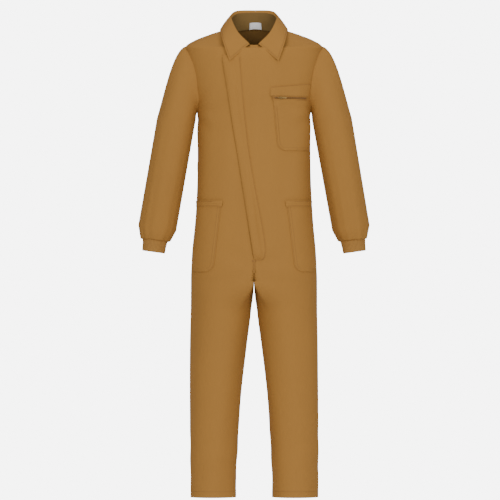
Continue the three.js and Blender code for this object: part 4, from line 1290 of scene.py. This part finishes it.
bpy.ops.object.select_all(action="DESELECT")
bpy.ops.mesh.primitive_cylinder_add(vertices=6, radius=0.00034, depth=0.0012, rotation=(0, math.pi / 2, 0))
bpy.ops.object.transform_apply(rotation=True, scale=True)
rod = bpy.context.object
for way in (-1, 1):
    pick_faces(rod, lambda centre, normal: normal.x * way > 0.9)
    bpy.ops.mesh.extrude_region_move(TRANSFORM_OT_translate={"value": (way * 0.0005, 0, -0.00010)})
    bpy.ops.transform.resize(value=(1, 0.85, 0.85))
    bpy.ops.mesh.extrude_region_move(TRANSFORM_OT_translate={"value": (way * 0.0003, 0, -0.00026)})
    bpy.ops.transform.resize(value=(1, 0.5, 0.5))
    bpy.ops.object.mode_set(mode="OBJECT")
stitch = as_arrays(rod)
print(f"one stitch has {len(stitch[1])} faces")


# %% Copy one shape along a line
def copies(name, shape, line, outward, pitch, finish, body=None, tilt=0.0):
    """Copies a small shape along a line at even steps; outward is the way out of the cloth at each point."""
    verts, faces = shape
    far = travel(line, 0)
    count = max(1, int(far[-1] / pitch))
    places = (np.arange(count) + 0.5) * far[-1] / count
    spots = spread(line, places)
    ahead = spread(line, np.minimum(places + pitch * 0.3, far[-1]))
    ahead = ahead - spread(line, np.maximum(places - pitch * 0.3, 0))
    ahead = ahead / np.linalg.norm(ahead, axis=1, keepdims=True)
    up = np.stack([np.interp(places, far, outward[:, k]) for k in range(3)], -1)
    up = up - ahead * np.sum(up * ahead, axis=1, keepdims=True)
    up = up / np.linalg.norm(up, axis=1, keepdims=True)
    beside = np.cross(up, ahead)
    along = ahead * math.cos(tilt) + beside * math.sin(tilt)
    across = beside * math.cos(tilt) - ahead * math.sin(tilt)
    axes = np.stack([along, across, up], 1)
    points = spots[:, None, :] + np.einsum("vk,nkc->nvc", verts, axes)
    all_faces = [[v + n * len(verts) for v in face] for n in range(count) for face in faces]
    piece = new_piece(name, points.reshape(-1, 3), all_faces, finish)
    only(piece)
    bpy.ops.object.shade_smooth_by_angle(angle=math.radians(60))
    if body:
        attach(piece, body)
    print(f"{name}: {count} copies")
    return piece


def join_lines(name, rows, pitch=0.0031, body="suit_body"):
    """Sews several rows as one piece."""
    made = []
    for k, (line, out) in enumerate(rows):
        made.append(copies(f"{name}_{k}", stitch, line, out, pitch, thread))
    bpy.ops.object.select_all(action="DESELECT")
    for piece in made:
        piece.select_set(True)
    bpy.context.view_layer.objects.active = made[0]
    if len(made) > 1:
        bpy.ops.object.join()
    made[0].name = name
    if body:
        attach(made[0], body)
    return made[0]


def row_on_grid(grid, inside, row=None, column=None, distance=None, lift=0.0002):
    """A row of stitches along one line of a piece's grid, a given distance in from that edge."""
    _, normal = raise_cloth(grid, inside, 0.0 * grid[..., 0])
    if row is not None:
        far = travel(grid, 0)
        if row < 0:
            far = far[-1:] - far
        ordered = far if row >= 0 else far[::-1]
        pick = [np.interp(distance, ordered[:, k], np.arange(len(grid))) for k in range(grid.shape[1])]
        if row < 0:
            pick = [len(grid) - 1 - p for p in pick]
        cells = [(p, k) for k, p in enumerate(pick)]
    else:
        far = travel(grid, 1)
        if column < 0:
            far = far[:, -1:] - far
        cells = []
        for k in range(len(grid)):
            line = far[k] if column >= 0 else far[k][::-1]
            p = np.interp(distance, line, np.arange(grid.shape[1]))
            cells.append((k, p if column >= 0 else grid.shape[1] - 1 - p))
    points, outs = [], []
    for a, b in cells:
        i, j = min(int(a), len(grid) - 2), min(int(b), grid.shape[1] - 2)
        s, t = a - i, b - j
        weights = ((1 - s) * (1 - t), (1 - s) * t, s * (1 - t), s * t)
        corners = ((i, j), (i, j + 1), (i + 1, j), (i + 1, j + 1))
        points.append(sum(w * grid[c] for w, c in zip(weights, corners)))
        outs.append(sum(w * normal[c] for w, c in zip(weights, corners)))
    outs = np.array(outs)
    outs = outs / np.linalg.norm(outs, axis=1, keepdims=True)
    return np.array(points) + outs * lift, outs


print("stitch rows are ready to sew")

# %% Rows along the flap, the fly and the back of the waist
def row_on_body(xs, hs, lift):
    """A row of stitches through places on the front, given as sideways places and heights."""
    xs, hs = np.asarray(xs, float), np.asarray(hs, float)
    return dressed(front_angle(xs, hs), hs, lift)


j_h = np.array(spaced(0.756, 1.368, 0.006))[::-1]
j_x = row_at(STITCH_LINE, j_h)[:, 0]
hook = np.linspace(0, math.pi / 2, 12)[1:]
j_x = np.concatenate([j_x, 0.0325 - 0.0080 * (1 - np.cos(hook)), [0.018, 0.010, 0.005]])
j_h = np.concatenate([j_h, 0.756 - 0.0160 * np.sin(hook), [0.7385, 0.7378, 0.7375]])
j_lift = np.where(j_h > 0.744, 0.0018, 0.0004)
join_lines("flap_stitches", [row_on_body(j_x, j_h, j_lift)])

fly_h = np.array(spaced(0.702, 0.733, 0.003))
fly_rows = [row_on_body(0 * fly_h + k * 0.0022, fly_h, 0.0018) for k in (-1, 1)]
join_lines("fly_stitches", fly_rows, 0.0029)

casing_rows = []
for shift in (-0.0175, 0.0, 0.0175):
    places = np.linspace(math.pi + 0.21, 2 * math.pi - 0.21, 400)
    depth = max(0.0, math.cos(shift / CASING_HALF * math.pi / 2)) ** 0.7
    wave = 0.0011 * depth * np.cos(62 * places + 1.4 * np.sin(7 * places) + 10 * shift)
    lift = 0.0018 + 0.0016 * depth + wave - (0.0007 if shift == 0 else 0)
    casing_rows.append(dressed(places, np.full(400, WAIST_H + shift), lift))
join_lines("casing_stitches", casing_rows)

seat_h = np.array(spaced(0.715, WAIST_H - 0.024, 0.006))
seat_lines = []
for k in (-1, 1):
    angle = 1.5 * math.pi + k * float(front_angle(0.0035, 0.9) - math.pi / 2)
    seat_lines.append(dressed(np.full(len(seat_h), angle), seat_h, 0.0002))
join_lines("seat_stitches", seat_lines)

# %% Rows round the pockets
STITCH_INSETS = (0.0030, 0.0095)  # the two rows of stitches, from the pocket's edge


def pocket_row(inner, bottom, top, corner, inset, lift, side=1):
    """A row that follows a pocket's inner edge, its round corner and its bottom."""
    down = np.array(spaced(bottom + corner, top, 0.006))[::-1]
    bend = bottom + inset + (corner - inset) * (1 - np.sin(np.linspace(0, math.pi / 2, 12)[1:]))
    h = np.concatenate([down, bend])
    x = pocket_edge(lambda k: inner(k) + inset, h, bottom + inset, corner - inset)
    angle = front_angle(x, h)
    floor_h = bottom + inset
    run = np.linspace(angle[-1], math.pi - float(pocket_outer(floor_h)) - 0.06, 30)[1:]
    angle = np.concatenate([angle, run])
    h = np.concatenate([h, np.full(29, floor_h)])
    spot = mirrored(body_point(angle, h), side)
    normal = mirrored(surface_normal(angle, h), side)
    return spot + normal * (folds(spot) + lift)[..., None], normal


def band_row(places, height, lift, side=1):
    angle = np.asarray(places, float)
    h = np.zeros(len(angle)) + height
    spot = mirrored(body_point(angle, h), side)
    normal = mirrored(surface_normal(angle, h), side)
    return spot + normal * (folds(spot) + lift)[..., None], normal


def lift_at(inset):
    return SEWN_LIFT + 0.0022 * (1 - math.exp(-inset / 0.010)) + 0.0002


for name, side in (("right", -1), ("left", 1)):
    lines = []
    for inset in STITCH_INSETS:
        row = pocket_row(hip_inner, HIP_POCKET[0], band_foot, POCKET_CORNER, inset, lift_at(inset), side)
        lines.append(row)
    for far, height in ((0.0030, 0.0048), (0.0165, 0.0064)):
        h = band_foot + far
        first = float(front_angle(hip_inner(h) + 0.002, h))
        places = np.linspace(first, math.pi - float(pocket_outer(h)) - 0.08, 60)
        from_edge = travel(band_row(places, h, 0.0)[0], 0)
        lift = height - 0.0016 * np.exp(-from_edge / 0.003)
        lift = lift - (0.0016 if far > 0.01 else 0.0) * (1 - smooth(0.0, 0.03, from_edge))
        lines.append(band_row(places, h, lift, side))
    sewn = join_lines(f"{name}_hip_pocket_stitches", lines, body=None)
    follow_leg(sewn)


def chest_lift(spots, h, lift):
    """Stitches near the zip rise with the cloth that meets it."""
    reach = math.exp(-(((h - CHEST_POCKET[1]) / 0.016) ** 2))
    return lerp(lift, np.maximum(zip_rise(spots[:, 0]), lift), reach) - folds(spots) * reach


chest_lines = []
for inset in STITCH_INSETS:
    row = pocket_row(chest_inner, CHEST_POCKET[0], patch_top - 0.020, POCKET_CORNER, inset, lift_at(inset))
    chest_lines.append(row)
for h, start in ((patch_top - 0.003, 0.062), (band_low + 0.0025, 0.053), (CHEST_TOP - 0.0025, 0.053)):
    places = np.linspace(float(front_angle(start, h)), math.pi - float(pocket_outer(h)), 60)
    heights = np.full(60, h)
    if h > 1.27:
        heights = heights + band_slant(body_point(places, heights)[:, 0], 1.0)
    spots = body_point(places, heights)
    chest_lines.append(band_row(places, heights, chest_lift(spots, h, 0.0020)))
join_lines("chest_pocket_stitches", chest_lines)

# %% Rows on the collar and the hems
leaf_part = leaf_grid[8:]
inner = int(np.argmax(travel(leaf_part, 1)[-1] > 0.0055))
collar_lines = [row_on_grid(leaf_part[:, inner:-inner], NECK_AXIS, row=-1, distance=0.0055)]
whole_far = travel(leaf_part, 0)[:, 0]
keep = int(np.argmax(whole_far > whole_far[-1] - 0.0055))
for column in (0, -1):
    collar_lines.append(row_on_grid(leaf_part[:keep], NECK_AXIS, column=column, distance=0.0055))
join_lines("collar_stitches", collar_lines, 0.0028)

for name, side in (("right", -1), ("left", 1)):
    rings = []
    for h in (0.0190, 0.0200, 0.0210):
        front, back = leg_outline(h, -1), leg_outline(h, 1)
        ring = np.vstack([front[:-1], back[::-1]])
        rings.append(spread(ring, np.linspace(0, travel(ring, 0)[-1], 200)))
    grid = np.array(rings)
    grid[..., 0] *= -side
    grid, normal = raise_cloth(grid, grid.mean(1), folds(grid) + 0.0002)
    sewn = join_lines(f"{name}_hem_stitches", [(grid[1], normal[1])], body=None)
    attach(sewn, f"{name}_leg")

# %% [markdown]
# ## Bar tack and label stitches
# A bar tack is a dense bar of stitches that keeps the end of an opening from tearing. The same stitch is
# set across its line, closer than its own width, so that the threads lie side by side.

# %% Sew the bar tack and the label
tack_x = np.linspace(-0.0060, 0.0060, 12)
line, out = row_on_body(tack_x, np.full(12, 0.7368), 0.0016)
tack = copies("closure_bar_tack", stitch, line, out, 0.0006, thread, "suit_body", tilt=math.pi / 2)
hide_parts("closure_bartack")
label_lines = []
for column in (0, -1):
    label_inside = [0, 0.5, label_grid[..., 2].mean()]
    label_lines.append(row_on_grid(label_grid, label_inside, column=column, distance=0.0012))
join_lines("label_stitches", label_lines, 0.0026)

# %% [markdown]
# ## The chest zip: coil, slider, crown and pull
# A coil zip is one spiral of plastic thread, seen as a row of short bars. The slider is a small cast body
# with a crown on top, a little arch that holds the pull. All of them are modelled as by hand at the origin,
# with x along the zip and -y out of the cloth, and are then set on the zip's line.


# %% Helpers for small castings
def shape_block(name, low, high):
    """A block between two corners, ready to be shaped in edit mode."""
    low, high = np.array(low, float), np.array(high, float)
    bpy.ops.object.select_all(action="DESELECT")
    bpy.ops.mesh.primitive_cube_add(size=1, location=tuple((low + high) / 2), scale=tuple(high - low))
    bpy.ops.object.transform_apply(location=True, rotation=True, scale=True)
    piece = bpy.context.object
    piece.name = name
    return piece


def soften(piece, width, segments=2, angle=35):
    bevel = piece.modifiers.new("soft_edges", "BEVEL")
    bevel.width, bevel.segments = width, segments
    bevel.limit_method, bevel.angle_limit = "ANGLE", math.radians(angle)
    apply_all(piece)


def settle(piece, place, finish, slot, body, *nodes):
    """Puts a piece made at the origin in its place, with its finish and its body."""
    only(piece)
    piece.data.materials.clear()
    piece.data.materials.append(finish)
    piece.matrix_world = place
    bpy.ops.object.transform_apply(location=True, rotation=True, scale=True)
    bpy.ops.object.mode_set(mode="EDIT")
    bpy.ops.mesh.select_all(action="SELECT")
    bpy.ops.mesh.remove_doubles(threshold=1e-6)
    bpy.ops.mesh.normals_make_consistent(inside=False)
    bpy.ops.object.mode_set(mode="OBJECT")
    bpy.ops.object.shade_smooth_by_angle(angle=math.radians(38))
    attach(piece, body)
    if nodes:
        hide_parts(*nodes)
    print(f"{piece.name}: {len(piece.data.polygons)} faces")


def frame_matrix(origin, x_axis, y_axis, z_axis):
    matrix = Matrix(np.column_stack([x_axis, y_axis, z_axis]).tolist()).to_4x4()
    matrix.translation = Vector(origin)
    return matrix


SLIDER_X = 0.079
pocket_place = frame_matrix(pocket_zip_line(SLIDER_X)[0], along_zip, -zip_out, [0, 0, 1])
print("pocket slider at", [round(v, 4) for v in pocket_place.translation])


# %% Slider body
def slider_body(name, length, half, low, high):
    """A shield-shaped plate, narrow at its tail, with a sunk field and two guide flanges."""
    piece = shape_block(name, (-length / 2, -high, -half), (length / 2, -low, half))
    only(piece)
    pick_faces(piece, lambda centre, normal: normal.x < -0.9)
    bpy.ops.transform.resize(value=(1, 1, 0.78))
    bpy.ops.mesh.extrude_region_move(TRANSFORM_OT_translate={"value": (-length * 0.10, 0, 0)})
    bpy.ops.transform.resize(value=(1, 0.7, 0.6))
    bpy.ops.object.mode_set(mode="OBJECT")
    pick_faces(piece, lambda centre, normal: normal.x > 0.9)
    bpy.ops.mesh.extrude_region_move(TRANSFORM_OT_translate={"value": (length * 0.06, 0, 0)})
    bpy.ops.transform.resize(value=(1, 0.7, 0.8))
    bpy.ops.object.mode_set(mode="OBJECT")
    pick_faces(piece, lambda centre, normal: normal.y < -0.9)
    bpy.ops.mesh.inset(thickness=half * 0.2, depth=-(high - low) * 0.18)
    bpy.ops.object.mode_set(mode="OBJECT")
    pick_faces(piece, lambda centre, normal: abs(normal.z) > 0.9 and centre.y > -(low + high) / 2 - 1)
    bpy.ops.mesh.inset(thickness=(high - low) * 0.22, depth=-half * 0.05)
    bpy.ops.object.mode_set(mode="OBJECT")
    soften(piece, 0.00018)
    return piece


body = slider_body("pocket_slider_body", 0.0095, 0.0039, 0.0028, 0.0044)
place = pocket_place @ Matrix.Translation((0.0005, 0, 0))
settle(body, place, brass, "metal", "pocket_runner", "pocket_zip_slider")


# %% Crown
bpy.ops.object.select_all(action="DESELECT")
bpy.ops.mesh.primitive_torus_add(
    major_radius=0.00255, minor_radius=0.00062, major_segments=28, minor_segments=10,
    rotation=(math.pi / 2, 0, 0))
bpy.ops.object.transform_apply(location=True, rotation=True, scale=True)
crown = bpy.context.object
crown.name = "pocket_slider_crown"
bpy.ops.object.mode_set(mode="EDIT")
bpy.ops.mesh.select_all(action="SELECT")
bpy.ops.transform.resize(value=(1.0, 1.0, 0.74))
bpy.ops.object.mode_set(mode="OBJECT")
pick_faces(crown, lambda centre, normal: centre.z < -0.0008)
bpy.ops.transform.resize(value=(1.12, 1.25, 0.75))
bpy.ops.object.mode_set(mode="OBJECT")
upright = Matrix.Rotation(math.pi / 2, 4, "X")
place = pocket_place @ Matrix.Translation((0.0002, -0.0066, 0)) @ upright
settle(crown, place, brass, "metal", "pocket_runner", "pocket_zip_crown")


# %% Pull
def pull_plate(name, start, length, half, eye, thickness, out):
    """A flat pull: an eye at one end, a waist, and a long tapered grip with a sunk field."""
    bpy.ops.object.select_all(action="DESELECT")
    bpy.ops.mesh.primitive_plane_add(size=1, location=(start + eye / 2, 0, 0))
    bpy.ops.object.transform_apply(location=True, rotation=True, scale=True)
    piece = bpy.context.object
    piece.name = name
    bpy.ops.object.mode_set(mode="EDIT")
    bpy.ops.mesh.select_all(action="SELECT")
    bpy.ops.transform.resize(value=(eye, 2 * half, 1))
    bpy.ops.mesh.inset(thickness=half * 0.42)
    bpy.ops.mesh.delete(type="ONLY_FACE")
    bpy.ops.mesh.select_all(action="DESELECT")
    bpy.ops.mesh.select_mode(type="EDGE")
    bpy.ops.object.mode_set(mode="OBJECT")
    far = max(v.co.x for v in piece.data.vertices)
    for share, wide in ((0.12, 0.72), (0.22, 1.25), (0.90, 0.86), (1.0, 0.7)):
        for edge in piece.data.edges:
            edge.select = all(piece.data.vertices[k].co.x > far - 1e-6 for k in edge.vertices)
        for vertex in piece.data.vertices:
            vertex.select = vertex.co.x > far - 1e-6
        step = start + eye + share * (length - eye) - far
        bpy.ops.object.mode_set(mode="EDIT")
        bpy.ops.mesh.extrude_region_move(TRANSFORM_OT_translate={"value": (step, 0, 0)})
        bpy.ops.transform.resize(value=(1, wide, 1))
        bpy.ops.object.mode_set(mode="OBJECT")
        far += step
    wall = piece.modifiers.new("plate", "SOLIDIFY")
    wall.thickness, wall.offset = thickness, 0
    apply_all(piece)
    grip = start + eye + 0.3 * (length - eye)
    pick_faces(piece, lambda centre, normal: abs(normal.z) > 0.9 and centre.x > grip)
    bpy.ops.mesh.inset(thickness=half * 0.22, depth=-thickness * 0.16, use_individual=False)
    bpy.ops.object.mode_set(mode="OBJECT")
    soften(piece, 0.00012)
    piece.data.transform(Matrix.Translation((0, -out, 0)) @ Matrix.Rotation(math.pi / 2, 4, "X"))
    return piece


pull = pull_plate("pocket_slider_pull", -0.0011, 0.0211, 0.0027, 0.0074, 0.0011, 0.0065)
settle(pull, pocket_place, brass, "metal", "pocket_puller", "pocket_zip_pull")

# %% Coil of the chest zip
bpy.ops.object.select_all(action="DESELECT")
bpy.ops.mesh.primitive_cylinder_add(vertices=6, radius=0.00046, depth=0.0030, rotation=(math.pi / 2, 0, 0))
bpy.ops.object.transform_apply(rotation=True, scale=True)
bar = bpy.context.object
for way in (-1, 1):
    pick_faces(bar, lambda centre, normal: normal.y * way > 0.9)
    bpy.ops.mesh.extrude_region_move(TRANSFORM_OT_translate={"value": (0.0001, way * 0.0006, -0.00018)})
    bpy.ops.transform.resize(value=(0.9, 1, 0.9))
    bpy.ops.mesh.extrude_region_move(TRANSFORM_OT_translate={"value": (0.0002, way * 0.0002, -0.00040)})
    bpy.ops.transform.resize(value=(0.6, 1, 0.6))
    bpy.ops.object.mode_set(mode="OBJECT")
coil_bar = as_arrays(bar)
zip_x = np.linspace(0.0625, 0.158, 60)
zip_line = pocket_zip_line(zip_x) + zip_out * 0.0011
zip_ways = np.broadcast_to(zip_out, zip_line.shape)
pocket_coil = copies("pocket_zip_coil", coil_bar, zip_line, zip_ways, 0.00135, coil, "suit_body")
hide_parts("pocket_zip_chain")

# %% [markdown]
# ## The main zip under the flap
# Only a hand that lifts the flap sees this zip, but it is there: two tapes behind the fronts, two rows of
# moulded teeth that stand between each other, and a slider with a flat pull that runs down to the crotch.

# %% Frame of the main zip
zip_down = (CLOSURE_FOOT - CLOSURE_TOP) / np.linalg.norm(CLOSURE_FOOT - CLOSURE_TOP)
belly_h = (CLOSURE_FOOT[2] + CLOSURE_TOP[2]) / 2
main_out = surface_normal(front_angle(closure_x(belly_h), belly_h), belly_h)
main_out = main_out - zip_down * np.dot(main_out, zip_down)
main_out = main_out / np.linalg.norm(main_out)
zip_across = np.cross(zip_down, main_out)
main_top = closure_point(1.345) + [0, 0, HEM_Z]
main_foot = closure_point(0.765) + [0, 0, HEM_Z]
main_length = float(np.linalg.norm(main_foot - main_top))
print(f"the main zip is {main_length:.3f} m long")

# %% Teeth and tapes
tooth = shape_block("tooth", (-0.0007, -0.0014, -0.0006), (0.0007, 0.0014, 0.0006))
pick_faces(tooth, lambda centre, normal: normal.y > 0.9)
bpy.ops.mesh.extrude_region_move(TRANSFORM_OT_translate={"value": (0, 0.0006, 0)})
bpy.ops.transform.resize(value=(1.3, 1, 0.9))
bpy.ops.mesh.extrude_region_move(TRANSFORM_OT_translate={"value": (0, 0.0004, 0)})
bpy.ops.transform.resize(value=(0.6, 1, 0.6))
bpy.ops.object.mode_set(mode="OBJECT")
tooth_verts, tooth_faces = as_arrays(tooth)
for name, side in (("right", -1), ("left", 1)):
    shape = (tooth_verts, tooth_faces)
    ends = [main_top + zip_down * (0.002 + 0.0009 * (side > 0)), main_foot - zip_down * 0.007]
    line = np.array([lerp(ends[0], ends[1], t) for t in np.linspace(0, 1, 40)]) + zip_across * side * 0.0011
    line = line if side < 0 else line[::-1]
    out = np.broadcast_to(main_out, line.shape)
    teeth = copies(f"{name}_zip_teeth", shape, line, out, 0.0032, coil, "suit_body")
    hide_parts(f"zip_chain_{name}")
    tape_h = np.array(spaced(0.757, 1.353, 0.012))
    tape_x = np.linspace(0.0006, 0.0140, 6)
    rows, across = np.meshgrid(tape_h, side * tape_x, indexing="ij")
    tape_grid, _ = dressed(front_angle(closure_x(rows) + across, rows), rows, -0.0031)
    tape_inside = spine(tape_h, middle_line)
    tape_piece = lay_cloth(f"{name}_zip_tape_cloth", tape_grid, tape_inside, zip_cloth, 0.0008)
    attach(tape_piece, "suit_body")
    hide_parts(f"zip_tape_{name}")

# %% Slider and pull of the main zip
main_place = frame_matrix(main_top, zip_down, -main_out, np.cross(zip_down, -main_out))
body = slider_body("main_slider_body", 0.0120, 0.0042, 0.0013, 0.0030)
settle(body, main_place @ Matrix.Translation((0.0100, 0, 0)), brass, "metal", "zip_runner", "zip_slider")
pull = pull_plate("main_slider_pull", 0.0050, 0.0270, 0.0028, 0.0080, 0.0008, 0.0037)
settle(pull, main_place, brass, "metal", "zip_runner", "zip_pull_tab")

# %% Finish of the stops
for node_name in ("zip_top_stop", "zip_bottom_stop"):
    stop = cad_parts[node_name]
    stop.data.materials.clear()
    stop.data.materials.append(brass)
